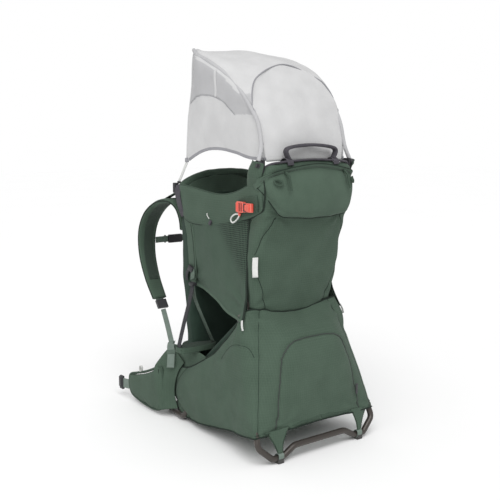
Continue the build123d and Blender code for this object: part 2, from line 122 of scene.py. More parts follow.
class Patch:
    """A curved sheet through a coarse grid of control points, sampled finely."""

    def __init__(self, grid, nu, nv, inside=None):
        g = np.array(grid, float)
        wu = weights(g.shape[0], np.linspace(0, 1, nu))
        wv = weights(g.shape[1], np.linspace(0, 1, nv))
        self.p = np.einsum("ui,ijk,vj->uvk", wu, g, wv)
        self.inside = None if inside is None else np.array(inside, float)
        self.refresh()

    def refresh(self):
        du, dv = np.gradient(self.p, axis=0), np.gradient(self.p, axis=1)
        n = np.cross(du, dv)
        n /= np.linalg.norm(n, axis=2, keepdims=True) + 1e-9
        if self.inside is not None and ((self.p - self.inside) * n).sum() < 0:
            n = -n
        self.n = n

    def push(self, height):
        """Moves the sheet along its normals, keeping its seams where they are drawn."""
        self.p = self.p + self.n * height[..., None]
        self.refresh()

    def radiate(self, centre, reach, count, depth, turn=0.0):
        """Creases that fan out from a point where the cloth is pulled."""
        away = self.p - np.array(centre, float)
        dist = np.linalg.norm(away, axis=2)
        du = np.gradient(self.p, axis=0)
        du /= np.linalg.norm(du, axis=2, keepdims=True) + 1e-9
        dv = np.cross(self.n, du)
        angle = np.arctan2((away * du).sum(2), (away * dv).sum(2)) + turn
        fade = np.exp(-((dist / reach) ** 2)) * (1 - np.exp(-((dist / (reach * 0.22)) ** 2)))
        self.push(depth * fade * np.cos(count * angle + 0.6 * np.sin(2 * angle)))

    def wrinkle(self, size, depth, seed, squeeze=(1, 1, 1)):
        self.push(depth * ripple(self.p * squeeze, size, seed))

    def drape(self, points, n=60, lift=0.0, closed=False):
        """A line drawn in space, dropped on the sheet: its points and their normals."""
        line = (closed_curve if closed else curve)(points, n)
        flat, normals = self.p.reshape(-1, 3), self.n.reshape(-1, 3)
        near = np.array([np.argmin(((flat - q) ** 2).sum(1)) for q in line])
        v, m = flat[near], normals[near]
        line = line - ((line - v) * m).sum(1)[:, None] * m
        for _ in range(4):
            line[1:-1] = (line[:-2] + 2 * line[1:-1] + line[2:]) / 4
            m[1:-1] = (m[:-2] + 2 * m[1:-1] + m[2:]) / 4
        return line + m * lift, m

    def groove(self, points, depth, width, n=90, closed=False):
        """Presses the sheet in along a seam, so that the panels beside it crown."""
        line, _ = self.drape(points, n, closed=closed)
        flat = self.p.reshape(-1, 3)
        d2 = np.full(len(flat), 1e9)
        for q in line:
            d2 = np.minimum(d2, ((flat - q) ** 2).sum(1))
        self.push(-depth * np.exp(-d2 / width**2).reshape(self.p.shape[:2]))


# Every shape function gives (points, faces); a Piece collects them with their materials.

def shell(patch, thick):
    """The patch as a closed sheet of that thickness, its outer face where it is drawn."""
    nu, nv = patch.p.shape[:2]
    outer = patch.p.reshape(-1, 3)
    inner = (patch.p - patch.n * thick).reshape(-1, 3)
    k = nu * nv

    def at(i, j):
        return i * nv + j

    faces = []
    for i in range(nu - 1):
        for j in range(nv - 1):
            a, b, c, d = at(i, j), at(i + 1, j), at(i + 1, j + 1), at(i, j + 1)
            faces += [(a, b, c, d), (k + d, k + c, k + b, k + a)]
    rim = [at(0, j) for j in range(nv)] + [at(i, nv - 1) for i in range(1, nu)]
    rim += [at(nu - 1, j) for j in range(nv - 2, -1, -1)] + [at(i, 0) for i in range(nu - 2, 0, -1)]
    for a, b in zip(rim, rim[1:] + rim[:1]):
        faces.append((a, b, k + b, k + a))
    return np.vstack([outer, inner]), faces


def sweep(path, sides, ups, section, closed=False):
    """A closed section carried along a path. section(t) gives points (across, up)."""
    n = len(path)
    pts, faces = [], []
    for i in range(n):
        for a, b in section(i / max(1, n - 1)):
            pts.append(path[i] + sides[i] * a + ups[i] * b)
    m = len(pts) // n
    for i in range(n if closed else n - 1):
        j = (i + 1) % n
        for k in range(m):
            l = (k + 1) % m
            faces.append((i * m + k, i * m + l, j * m + l, j * m + k))
    if not closed:
        faces += [tuple(range(m - 1, -1, -1)), tuple(range((n - 1) * m, n * m))]
    return np.array(pts), faces


def frames(path, closed=False, hint=(0, 0, 1)):
    """Directions across and up along a path, turning as little as they can."""
    if closed:
        t = np.roll(path, -1, axis=0) - np.roll(path, 1, axis=0)
    else:
        t = np.gradient(path, axis=0)
    t /= np.linalg.norm(t, axis=1)[:, None] + 1e-9
    up = np.array(hint, float)
    if abs(up @ t[0]) > 0.9:
        up = np.array((1.0, 0, 0))
    sides, ups = [], []
    for d in t:
        up = up - (up @ d) * d
        up /= np.linalg.norm(up) + 1e-9
        sides.append(np.cross(d, up))
        ups.append(up.copy())
    return np.array(sides), np.array(ups)


def tube(path, radius, around=8, closed=False):
    sides, ups = frames(path, closed)
    ring = [(radius * math.cos(2 * math.pi * k / around), radius * math.sin(2 * math.pi * k / around))
            for k in range(around)]
    return sweep(path, sides, ups, lambda t: ring, closed)


def superellipse(width, thick, power=2.6, around=20):
    """A rounded flat section, full in the middle and thin at its edges."""
    ring = []
    for k in range(around):
        a = 2 * math.pi * k / around
        c, s = math.cos(a), math.sin(a)
        ring.append((width / 2 * math.copysign(abs(c) ** (2 / power), c),
                     thick / 2 * math.copysign(abs(s) ** (2 / power), s)))
    return ring


def strap(points, across, width, thick, n=40, power=5.0, taper=None, closed=False):
    """Webbing or a padded strap: a rounded flat section on a smooth path, across its width."""
    path = (closed_curve if closed else curve)(points, n)
    t = np.gradient(path, axis=0)
    t /= np.linalg.norm(t, axis=1)[:, None] + 1e-9
    w = np.tile(np.array(across, float), (n, 1)) if np.ndim(across) == 1 else np.array(across, float)
    w = w - (w * t).sum(1)[:, None] * t
    w /= np.linalg.norm(w, axis=1)[:, None] + 1e-9
    size = taper or (lambda s: 1.0)
    return sweep(path, w, np.cross(t, w),
                 lambda s: superellipse(width * size(s), thick, power), closed)


def stitches(line, normals, length=3.4, gap=2.2, thick=0.55):
    """A row of raised thread dashes along a line on a sheet."""
    step = np.r_[0, np.cumsum(np.linalg.norm(np.diff(line, axis=0), axis=1))]
    pts, faces = [], []
    at = gap
    while at + length < step[-1]:
        ends = [np.array([np.interp(s, step, line[:, k]) for k in range(3)]) for s in (at, at + length)]
        n = np.array([np.interp(at, step, normals[:, k]) for k in range(3)])
        side = np.cross(ends[1] - ends[0], n)
        side /= np.linalg.norm(side) + 1e-9
        base = len(pts)
        middle = (ends[0] + ends[1]) / 2 + n * thick
        pts += [ends[0], middle + side * thick, middle + n * thick * 0.4, middle - side * thick, ends[1]]
        faces += [(base, base + 1, base + 2), (base, base + 2, base + 3), (base, base + 3, base + 1),
                  (base + 4, base + 2, base + 1), (base + 4, base + 3, base + 2),
                  (base + 4, base + 1, base + 3)]
        at += length + gap
    return np.array(pts).reshape(-1, 3), faces


def block(centre, size, bevel=1.5, turn=(0, 0, 0), segments=3):
    """A rounded block, turned by three angles in degrees."""
    bm = bmesh.new()
    bmesh.ops.create_cube(bm, size=1)
    bmesh.ops.scale(bm, vec=size, verts=bm.verts)
    bmesh.ops.bevel(bm, geom=list(bm.edges), offset=bevel, segments=segments, affect="EDGES", profile=0.5)
    rx, ry, rz = (math.radians(a) for a in turn)
    turned = Euler((rx, ry, rz)).to_matrix()
    pts = np.array([turned @ v.co for v in bm.verts]) + np.array(centre, float)
    bm.verts.index_update()
    faces = [tuple(v.index for v in f.verts) for f in bm.faces]
    bm.free()
    return pts, faces


def lens(top, bottom, thick, across, n=60, rows=16, power=3.0, relief=None):
    """A crowned pad between two edge curves; across is the direction of its thickness."""
    a, b = curve(top, n), curve(bottom, n)
    across = np.array(across, float)
    across /= np.linalg.norm(across)
    s = np.linspace(0, 1, n)[None, :, None]
    t = (1 - np.cos(np.linspace(0, math.pi, rows)))[:, None, None] / 2
    mid = a[None] * (1 - t) + b[None] * t
    crown = ((1 - np.abs(2 * t - 1) ** power) * (1 - np.abs(2 * s - 1) ** (power * 4))) ** 0.5
    half = crown * thick / 2
    bump = 0 if relief is None else relief(mid) * crown[..., 0]
    front = mid + across * half + across * np.array(bump)[..., None] if relief else mid + across * half
    back = mid - across * half
    pts = np.vstack([front.reshape(-1, 3), back.reshape(-1, 3)])
    k = rows * n
    faces = []
    for i in range(rows - 1):
        for j in range(n - 1):
            q = (i * n + j, i * n + j + 1, (i + 1) * n + j + 1, (i + 1) * n + j)
            faces += [q, tuple(k + v for v in reversed(q))]
    return pts, faces


class Piece:
    """Collects shapes and their materials, then becomes one Blender object."""

    def __init__(self, name, slot):
        self.name, self.slot = name, slot
        self.points, self.faces, self.slots, self.mats = [], [], [], []
        self.count = 0

    def add(self, part, mat):
        pts, faces = part
        if mat not in self.mats:
            self.mats.append(mat)
        self.points.append(np.asarray(pts, float).reshape(-1, 3))
        self.faces += [tuple(self.count + v for v in f) for f in faces]
        self.slots += [self.mats.index(mat)] * len(faces)
        self.count += len(pts)
        return self

    def recolour(self, chosen, mat):
        """Gives another material to the faces whose centres the rule picks."""
        pts = np.vstack(self.points)
        centres = np.array([pts[list(f)].mean(0) for f in self.faces])
        self.mats.append(mat)
        for k in np.flatnonzero(chosen(centres)):
            self.slots[k] = len(self.mats) - 1

    def build(self, side=1, smooth=True):
        pts = np.vstack(self.points) * (side, 1, 1) * MM
        mesh = bpy.data.meshes.new(self.name)
        mesh.from_pydata([tuple(p) for p in pts], [], self.faces)
        for mat in self.mats:
            mesh.materials.append(mat)
        mesh.polygons.foreach_set("material_index", self.slots)
        obj = bpy.data.objects.new(self.name, mesh)
        bpy.context.collection.objects.link(obj)
        clean(obj)
        mesh.polygons.foreach_set("use_smooth", [smooth] * len(mesh.polygons))
        return obj


def clean(obj):
    """Joins doubled points, drops empty faces and turns every face outwards."""
    bm = bmesh.new()
    bm.from_mesh(obj.data)
    bmesh.ops.remove_doubles(bm, verts=bm.verts, dist=0.00002)
    bmesh.ops.dissolve_degenerate(bm, edges=bm.edges, dist=0.00001)
    bmesh.ops.recalc_face_normals(bm, faces=bm.faces)
    bm.to_mesh(obj.data)
    bm.free()


def only(obj):
    bpy.ops.object.select_all(action="DESELECT")
    obj.select_set(True)
    bpy.context.view_layer.objects.active = obj


def cushion(obj, voxel=0.005, cap=0.008, pressure=4.0):
    """Swells a slightly small solid with a cloth simulation, keeping each point near its place."""
    material = obj.data.materials[0]
    only(obj)
    remesh = obj.modifiers.new("even", "REMESH")
    remesh.mode, remesh.voxel_size = "VOXEL", voxel
    bpy.ops.object.modifier_apply(modifier=remesh.name)
    start = np.array([v.co for v in obj.data.vertices])
    cloth = obj.modifiers.new("swell", "CLOTH")
    cloth.settings.use_pressure = True
    cloth.settings.uniform_pressure_force = pressure
    cloth.settings.effector_weights.gravity = 0
    cloth.settings.quality = 5
    for f in range(1, 21):
        bpy.context.scene.frame_set(f)
    bpy.ops.object.modifier_apply(modifier=cloth.name)
    bpy.context.scene.frame_set(1)
    end = np.array([v.co for v in obj.data.vertices])
    shift = end - start
    length = np.linalg.norm(shift, axis=1)[:, None] + 1e-9
    end = start + shift / length * cap * np.tanh(length / cap)
    obj.data.vertices.foreach_set("co", end.astype(np.float32).ravel())
    only(obj)
    smooth = obj.modifiers.new("soften", "SMOOTH")
    smooth.iterations = 3
    bpy.ops.object.modifier_apply(modifier=smooth.name)
    fine = obj.modifiers.new("fine", "SUBSURF")
    fine.levels = fine.render_levels = 1
    bpy.ops.object.modifier_apply(modifier=fine.name)
    if not obj.data.materials:
        obj.data.materials.append(material)
    obj.data.polygons.foreach_set("use_smooth", [True] * len(obj.data.polygons))
    obj.data.update()


def press(obj, lines, depth, width):
    """Sews channels into a finished cushion: points near the lines sink along their normals."""
    co = np.array([v.co for v in obj.data.vertices])
    no = np.array([v.normal for v in obj.data.vertices])
    d2 = np.full(len(co), 1e9)
    for line in lines:
        for q in curve(line, 60) * MM:
            d2 = np.minimum(d2, ((co - q) ** 2).sum(1))
    co -= no * (depth * MM * np.exp(-d2 / (width * MM) ** 2))[:, None]
    obj.data.vertices.foreach_set("co", co.astype(np.float32).ravel())
    obj.data.update()


def prism(outline, low, high, axis):
    """A closed outline, in the two other axes, extruded along one axis (0, 1 or 2)."""
    ring = closed_curve([(a, b, 0) for a, b in outline], 48)[:, :2]
    pts = []
    for level in (low, high):
        for a, b in ring:
            p = [a, b]
            p.insert(axis, level)
            pts.append(p)
    n = len(ring)
    faces = [tuple(range(n)), tuple(range(2 * n - 1, n - 1, -1))]
    faces += [(k, n + k, n + (k + 1) % n, (k + 1) % n) for k in range(n)]
    return np.array(pts), faces


# ------------------------------------------------------------------ materials

class Nodes:
    """Short calls for building one material's node tree."""

    def __init__(self, name, base, rough, **sockets):
        self.mat = bpy.data.materials.new(name)
        self.mat.use_nodes = True
        self.tree = self.mat.node_tree
        self.shader = self.tree.nodes["Principled BSDF"]
        self.shader.inputs["Base Color"].default_value = (*base, 1)
        self.shader.inputs["Roughness"].default_value = rough
        for key, value in sockets.items():
            self.shader.inputs[key.replace("_", " ")].default_value = value
        self.mat.diffuse_color = (*base, 1)

    def node(self, kind, **values):
        n = self.tree.nodes.new(kind)
        for key, value in values.items():
            setattr(n, key, value)
        return n

    def link(self, a, b):
        self.tree.links.new(a, b)

    def put(self, socket, value):
        if isinstance(value, bpy.types.NodeSocket):
            self.link(value, socket)
        else:
            socket.default_value = value

    def math(self, operation, a, b=0.0):
        n = self.node("ShaderNodeMath", operation=operation)
        self.put(n.inputs[0], a)
        self.put(n.inputs[1], b)
        return n.outputs[0]

    def noise(self, size, detail=3.0, vector=None, rough=0.5):
        n = self.node("ShaderNodeTexNoise")
        n.inputs["Scale"].default_value = 1 / size
        n.inputs["Detail"].default_value = detail
        n.inputs["Roughness"].default_value = rough
        self.link(vector or self.place(), n.inputs["Vector"])
        return n.outputs["Fac"]

    def place(self):
        return self.node("ShaderNodeTexCoord").outputs["Object"]

    def ramp(self, value, low, high):
        n = self.node("ShaderNodeMapRange")
        self.put(n.inputs["Value"], value)
        n.inputs["From Min"].default_value, n.inputs["From Max"].default_value = low, high
        return n.outputs[0]

    def mix(self, factor, a, b):
        n = self.node("ShaderNodeMix", data_type="RGBA")
        self.put(n.inputs["Factor"], factor)
        for socket, value in ((n.inputs[6], a), (n.inputs[7], b)):
            self.put(socket, (*value, 1) if isinstance(value, tuple) else value)
        return n.outputs[2]

    def plane(self):
        """Two coordinates in the plane that the surface faces most, in metres."""
        coords = self.node("ShaderNodeTexCoord")
        place, facing = self.node("ShaderNodeSeparateXYZ"), self.node("ShaderNodeSeparateXYZ")
        self.link(coords.outputs["Object"], place.inputs[0])
        self.link(coords.outputs["Normal"], facing.inputs[0])
        x, y, z = place.outputs
        nx, ny, nz = (self.math("ABSOLUTE", s) for s in facing.outputs)
        top = self.math("MULTIPLY", self.math("GREATER_THAN", nz, nx), self.math("GREATER_THAN", nz, ny))
        side = self.math("GREATER_THAN", nx, ny)
        u = self.pick(side, x, y)
        v = self.pick(top, z, y)
        return self.pick(top, u, x), v

    def pick(self, factor, a, b):
        n = self.node("ShaderNodeMix", data_type="FLOAT")
        self.put(n.inputs["Factor"], factor)
        self.put(n.inputs[2], a)
        self.put(n.inputs[3], b)
        return n.outputs[0]

    def bump(self, height, distance, strength=1.0):
        n = self.node("ShaderNodeBump")
        n.inputs["Strength"].default_value = strength
        n.inputs["Distance"].default_value = distance
        self.link(height, n.inputs["Height"])
        old = self.shader.inputs["Normal"]
        if old.is_linked:
            self.link(old.links[0].from_socket, n.inputs["Normal"])
        self.link(n.outputs[0], self.shader.inputs["Normal"])

    def colour(self, value):
        self.link(value, self.shader.inputs["Base Color"])

    def rough(self, value):
        self.link(value, self.shader.inputs["Roughness"])


def weave_height(m, kind, pitch):
    """Height of the yarns, 0 to 1, for a kind of cloth with that pitch in metres."""
    u, v = m.plane()
    k = 2 * math.pi / pitch
    a, b = m.math("MULTIPLY", u, k), m.math("MULTIPLY", v, k)
    if kind == "twill":
        wave = m.math("SINE", m.math("ADD", a, b))
    elif kind == "rib":
        wave = m.math("SINE", b)
    elif kind == "dots":
        wave = m.math("MULTIPLY", m.math("COSINE", m.math("ADD", a, b)),
                      m.math("COSINE", m.math("SUBTRACT", a, b)))
    else:
        wave = m.math("MULTIPLY", m.math("SINE", a), m.math("SINE", b))
    return m.ramp(wave, -1, 1)


def cloth_material(name, light, dark, kind, pitch, depth, rough=0.85, holes=0.0, ripstop=0.0, **sockets):
    """Woven or knitted cloth: yarns, mottled dye, faded patches, faint creases and sheen."""
    m = Nodes(name, light, rough, Sheen_Weight=0.04, Sheen_Roughness=0.5, Specular_IOR_Level=0.18, **sockets)
    yarn = weave_height(m, kind, pitch)
    melange = m.ramp(m.noise(pitch * 1.3, 2.0), 0.3, 0.7)
    faded = m.ramp(m.noise(0.055, 3.0), 0.35, 0.7)
    base = m.mix(m.math("MULTIPLY", melange, 0.55), light, dark)
    pale = tuple(min(1, c * 1.22 + 0.008) for c in light)
    base = m.mix(m.math("MULTIPLY", faded, 0.35), base, pale)
    # painted shade: the colour darkens between the yarns, and more where the cloth has holes
    shade = m.math("MULTIPLY", m.math("SUBTRACT", 1.0, yarn), 0.35 + holes)
    base = m.mix(shade, base, tuple(c * 0.35 for c in dark))
    if ripstop:
        u, v = m.plane()
        for axis in (u, v):
            cell = m.math("FRACT", m.math("DIVIDE", axis, ripstop))
            thread = m.math("LESS_THAN", cell, 0.12)
            base = m.mix(m.math("MULTIPLY", thread, 0.32), base, pale)
            m.bump(thread, 0.00012, 0.5)
    m.colour(base)
    m.rough(m.ramp(m.noise(0.03), -2.2, 1.6) if rough < 0.8 else m.ramp(m.noise(0.03), -4.0, 1.3))
    m.bump(m.noise(0.018, 4.0), 0.0009, 0.5)
    m.bump(yarn, depth, 0.8)
    return m.mat


def mesh_material(name, light, dark, pitch, floor, zoned=False):
    """Open spacer mesh: round cells in a grid over a near-black ground, on fine ribs; the ground is the
    lining under the cells darkened further as painted shade.

    A zoned mesh has its open cells only in the upper rear corner of the panel and a fine grid elsewhere.
    """
    m = Nodes(name, light, 0.8, Sheen_Weight=0.05, Specular_IOR_Level=0.2)
    hole = m.ramp(weave_height(m, "dots", pitch), 0.46, 0.70)
    fine = weave_height(m, "plain", pitch * 0.42)
    base = m.mix(m.math("MULTIPLY", fine, 0.5), light, dark)
    base = m.mix(m.math("MULTIPLY", m.ramp(m.noise(0.09, 2.0), 0.3, 0.7), 0.3), base, dark)
    if zoned:
        place = m.node("ShaderNodeSeparateXYZ")
        m.link(m.place(), place.inputs[0])
        corner = m.math("SUBTRACT", m.math("MULTIPLY", place.outputs[2], 0.9), place.outputs[1])
        hole = m.math("MULTIPLY", hole, m.ramp(corner, *MESH_CELLS))
    # painted shade: the open cells show the near-black ground
    m.colour(m.mix(hole, base, floor))
    m.rough(m.ramp(m.noise(0.01), -3, 1.4))
    m.bump(m.math("SUBTRACT", 1.0, hole), 0.0009, 0.9)
    m.bump(fine, 0.0004, 0.6)
    return m.mat


def webbing_material(name, light, dark):
    """Ribbed webbing: fine cross ribs, long yarns and pale fuzz."""
    m = Nodes(name, light, 0.8, Sheen_Weight=0.05, Specular_IOR_Level=0.2)
    ribs = weave_height(m, "twill", 0.0022)
    fine = m.noise(0.0008, 2.0)
    base = m.mix(m.ramp(m.noise(0.02), 0.3, 0.75), light, dark)
    base = m.mix(m.math("MULTIPLY", ribs, 0.35), base, dark)
    m.colour(m.mix(m.math("MULTIPLY", fine, 0.25), base, tuple(min(1, c * 1.5 + 0.01) for c in light)))
    m.rough(m.ramp(m.noise(0.008), -3, 1.4))
    m.bump(ribs, 0.0004, 0.9)
    m.bump(fine, 0.0002, 0.5)
    return m.mat


def hard_material(name, base, worn, rough, grain, metallic=0.0, coat=0.0, edge=0.55):
    """Moulded or coated hard parts: fine grain, cloudy gloss, scuffs and rubbed edges."""
    m = Nodes(name, base, rough, Metallic=metallic, Coat_Weight=coat, Specular_IOR_Level=0.35)
    scuff = m.ramp(m.noise(0.004, 6.0, rough=0.7), 0.6, 0.78)
    cloudy = m.noise(0.03, 3.0)
    pointed = m.ramp(m.node("ShaderNodeNewGeometry").outputs["Pointiness"], 0.52, 0.6)
    wear = m.math("MULTIPLY", pointed, edge)
    body = m.mix(m.math("MULTIPLY", cloudy, 0.4), base, tuple(c * 0.72 for c in base))
    body = m.mix(m.math("MULTIPLY", scuff, 0.18), body, worn)
    m.colour(m.mix(wear, body, worn))
    m.rough(m.math("ADD", m.math("MULTIPLY", m.noise(0.006, 4.0), 0.3), rough - 0.15))
    m.bump(m.noise(grain, 3.0), 0.00012, 0.6)
    m.bump(scuff, 0.00008, 0.4)
    return m.mat


GREEN, GREEN_DARK = (0.070, 0.108, 0.078), (0.046, 0.074, 0.053)
MATS = {
    "pack": cloth_material("pack_cloth", GREEN, GREEN_DARK, "plain", 0.0012, 0.00014, ripstop=0.006),
    "pack_dark": cloth_material("pack_cloth_dark", (0.050, 0.080, 0.057), (0.034, 0.056, 0.04), "plain",
                                0.0012,
                                0.00014, ripstop=0.006),
    "pack_light": cloth_material("pack_cloth_light", (0.080, 0.122, 0.089), (0.054, 0.086, 0.062), "plain",
                                 0.0012, 0.00014),
    "lining": cloth_material("lining_knit", (0.03, 0.055, 0.04), (0.018, 0.036, 0.026), "twill", 0.0016,
                             0.0002),
    "mesh": mesh_material("side_mesh_knit", (0.062, 0.096, 0.070), (0.034, 0.058, 0.041), 0.0105,
                          (0.008, 0.016, 0.011), zoned=True),
    "airmesh": mesh_material("air_mesh", (0.07, 0.10, 0.077), (0.04, 0.062, 0.047), 0.004,
                             (0.016, 0.026, 0.02)),
    "shade": cloth_material("shade_cloth", (0.62, 0.62, 0.622), (0.56, 0.56, 0.565), "plain", 0.0011,
                            0.00008,
                            rough=0.7),
    "shade_trim": cloth_material("shade_trim", (0.34, 0.34, 0.36), (0.26, 0.26, 0.28), "twill", 0.0018,
                                 0.0002),
    # darker dotted grey for the curtain's mesh window and the pole sleeves: painted shade
    "canopy_painted_shade": cloth_material("canopy_painted_shade", (0.53, 0.53, 0.54), (0.47, 0.47, 0.48), "dots", 0.0024,
                                 0.0002,
                                 holes=0.15),
    "dark_web": webbing_material("dark_webbing", (0.045, 0.045, 0.05), (0.024, 0.025, 0.028)),
    "green_web": webbing_material("green_webbing", (0.11, 0.15, 0.12), (0.07, 0.10, 0.08)),
    "light_web": webbing_material("light_webbing", (0.19, 0.235, 0.205), (0.13, 0.17, 0.145)),
    "grey_web": webbing_material("grey_webbing", (0.075, 0.07, 0.082), (0.045, 0.042, 0.05)),
    "white_web": webbing_material("white_webbing", (0.72, 0.73, 0.70), (0.56, 0.57, 0.55)),
    "seam": cloth_material("seam_binding", (0.018, 0.030, 0.022), (0.010, 0.018, 0.013), "twill", 0.0013,
                           0.0002),
    "thread": cloth_material("thread", (0.10, 0.145, 0.11), (0.07, 0.10, 0.075), "twill", 0.0009, 0.0001),
    "zip": hard_material("zip_coil", (0.02, 0.026, 0.022), (0.08, 0.09, 0.085), 0.45, 0.0006),
    "black": hard_material("black_moulding", (0.014, 0.014, 0.016), (0.07, 0.07, 0.075), 0.42, 0.0007),
    "red": hard_material("coral_moulding", (0.72, 0.10, 0.07), (0.86, 0.33, 0.26), 0.36, 0.0008, coat=0.1),
    "rubber": hard_material("foot_rubber", (0.022, 0.022, 0.022), (0.09, 0.088, 0.085), 0.8, 0.0011),
    "tube": hard_material("frame_coating", (0.060, 0.052, 0.046), (0.20, 0.185, 0.17), 0.34, 0.0009,
                          metallic=0.35, coat=0.15, edge=0.35),
}
CAD_LOOKS = {
    "frame_tube": "tube", "black_plastic": "black", "red_plastic": "red", "rubber": "rubber",
    "pack_fabric": "pack", "lining_fabric": "lining", "mesh_fabric": "mesh", "shade_fabric": "shade",
    "dark_webbing": "dark_web", "light_webbing": "light_web", "white_webbing": "white_web",
             "zip_tape": "zip",
}


def dress_cad():
    """Gives every CAD node the better material of its slot."""
    for node in NODES.values():
        for place in node.material_slots:
            if place.material is None:
                continue
            for slot_name, look in CAD_LOOKS.items():
                if slot_name in place.material.name:
                    place.material = MATS[look]
                    break
    for name, look in (("pocket_pull_left", "pack_dark"), ("pocket_pull_right", "pack_dark"),
                       ("lower_pull", "black"), ("kick_brackets", "black")):
        for place in NODES[name].material_slots:
            place.material = MATS[look]


# --------------------------------------------------------------- soft pieces

def seam(piece, patch, points, n=90, radius=0.65, rows=(3.2,), sink=0.1, mat="seam", closed=False):
    """Piping in a seam, with rows of stitching beside it."""
    line, normals = patch.drape(points, n, -sink, closed)
    piece.add(tube(line, radius, 6, closed), MATS[mat])
    along = np.gradient(line, axis=0)
    beside = np.cross(along, normals)
    beside /= np.linalg.norm(beside, axis=1)[:, None] + 1e-9
    for row in rows:
        side_line, side_normals = patch.drape(line + beside * row, n, 0.0)
        piece.add(stitches(side_line, side_normals), MATS["thread"])


BAG_COLUMNS = [
    [(-138, 112, 30), (-146, 118, 58), (-150, 119, 88), (-151, 119, 116), (-151, 118, 134),
     (-150, 116, 150)],
    [(-156, 75, 16), (-163, 80, 50), (-167, 80, 85), (-166, 74, 112), (-163, 68, 135), (-158, 58, 152)],
    [(-166, 0, 15), (-173, 0, 52), (-175, 0, 88), (-173, 0, 120), (-169, -1, 146), (-162, -4, 168)],
    [(-172, -100, 28), (-180, -100, 74), (-182, -100, 116), (-179, -101, 156), (-173, -102, 190),
     (-165, -103, 222)],
    [(-180, -205, 48), (-189, -205, 104), (-188, -204, 158), (-184, -200, 208), (-178, -190, 250),
     (-168, -172, 278)],
    [(-191, -272, 58), (-193, -268, 120), (-188, -258, 186), (-181, -244, 244), (-175, -226, 292),
     (-164, -208, 318)],
    [(-200, -328, 68), (-194, -311, 122), (-184, -284, 196), (-175, -260, 262), (-168, -246, 320),
     (-152, -234, 360)],
    [(-187, -344, 72), (-176, -329, 134), (-162, -308, 205), (-149, -288, 264), (-138, -266, 318),
     (-114, -247, 364)],
    [(-92, -353, 77), (-92, -352, 145), (-89, -347, 212), (-82, -333, 270), (-74, -303, 318),
     (-62, -252, 355)],
    [(0, -355, 80), (0, -357, 145), (0, -353, 212), (0, -340, 272), (0, -308, 318), (0, -253, 350)],
]
ARCH_ZIP = whole([(-140, -352, 84), (-134, -350, 130), (-127, -345, 176), (-117, -340, 240),
                  (-102, -336, 276),
                  (-78, -333, 293), (-40, -331, 299), (0, -331, 300)])


def lower_bag():
    grid = [whole([column[r] for column in BAG_COLUMNS]) for r in range(len(BAG_COLUMNS[0]))]
    bag = Patch(grid, 90, 320, inside=(0, -120, 150))
    rear_seams = [flip([(-192, -340, 74), (-178, -325, 140), (-162, -305, 215), (-145, -281, 292),
                        (-114, -246, 363)], s)
                  for _, s in SIDES]
    domes = [flip([(-174, -158, 225), (-176, -190, 262), (-172, -226, 277), (-164, -262, 276),
                   (-160, -286, 256)], s)
             for _, s in SIDES]
    fronts = [flip([(-160, 20, 160), (-166, 62, 112), (-166, 82, 76), (-163, 68, 46), (-166, 10, 18)], s)
              for _, s in SIDES]
    for lines, depth, width in ((rear_seams, 3.0, 9), (domes, 3.5, 11), (fronts, 3.0, 9),
                                ([ARCH_ZIP], 3.0, 8)):
        for line in lines:
            bag.groove(line, depth, width, 140)
    bag.wrinkle(150, 2.6, 4, (1, 1, 0.45))
    bag.wrinkle(52, 0.9, 9, (1, 1, 0.6))
    for _, s in SIDES:
        bag.radiate((-150 * s, -236, 362), 95, 7, 2.2)
        bag.radiate((-112 * s, -345, 92), 70, 5, 1.8)
        bag.radiate((-166 * s, 70, 60), 60, 5, 1.5)
        bag.radiate((-188 * s, -335, 80), 60, 5, 1.6)
    piece = Piece("lower_bag", "pack_fabric")
    piece.add(shell(bag, 2.0), MATS["pack"])
    for line in rear_seams + domes + fronts:
        seam(piece, bag, line, 90)
    zip_line, _ = bag.drape(ARCH_ZIP, 260, 0.4)
    piece.add(tube(zip_line, 1.5, 8), MATS["zip"])
    for inset in (-5.5, 5.5):
        side = np.cross(np.gradient(zip_line, axis=0), (0, -1, 0))
        side /= np.linalg.norm(side, axis=1)[:, None]
        line, normals = bag.drape(zip_line + side * inset, 260, 0.0)
        piece.add(stitches(line, normals), MATS["thread"])
    # tapes on the free edges
    for row, width in ((0, 7.0), (-1, 6.0)):
        edge = bag.p[row]
        piece.add(tube(edge[::3], width / 3.2, 8), MATS["seam"])
    obj = piece.build()
    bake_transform(obj)
    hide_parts("lower_compartment")
    return bag


def bag_floor(bag):
    """The bag's base board and the dark tray over it, between the two side walls."""
    for name, row, sag, mat in (("bag_base", 0, 7, "pack_dark"), ("bag_tray", -1, -26, "lining")):
        edge = bag.p[row]
        n = len(edge) // 2
        near, far = edge[:n], edge[::-1][:n]
        u = np.linspace(0, 1, 26)[:, None, None]
        sheet = Patch([[(0, 0, 0)] * 2] * 2, 2, 2)
        sheet.p = near[None] * (1 - u) + far[None] * u
        bow = (4 * u * (1 - u))[..., 0] * np.minimum(1, (np.arange(n) / 20))[None]
        sheet.p[..., 2] += bow * sag + np.where(row == 0, 6, -6)
        sheet.p[..., 0] *= 0.985
        sheet.refresh()
        sheet.wrinkle(90, 1.2, 5)
        piece = Piece(name, "pack_fabric" if row == 0 else "lining_fabric")
        piece.add(shell(sheet, 2.0), MATS[mat])
        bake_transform(piece.build())


def gussets():
    """Cloth at the lower bag's open front corners, and the sleeves of the slanted struts."""
    piece = Piece("front_gussets", "pack_fabric")
    for _, s in SIDES:
        rows = [[(-148, 112, 204), (-152, 60, 212), (-152, 0, 212), (-154, -60, 206)],
                [(-156, 108, 130), (-158, 60, 140), (-158, 0, 150), (-160, -60, 170)],
                [(-156, 104, 60), (-158, 60, 66), (-158, 0, 84), (-158, -60, 120)]]
        panel = Patch([flip(row, s) for row in rows], 40, 50, inside=(0, 0, 140))
        panel.wrinkle(60, 1.6, 31)
        piece.add(shell(panel, 1.4), MATS["pack"])
        piece.add(tube(curve(flip([(-132, 8, 152), (-132, -95, 239), (-132, -199, 326)], s), 30), 10, 14),
                  MATS["lining"])
    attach(piece.build(), "carrier")


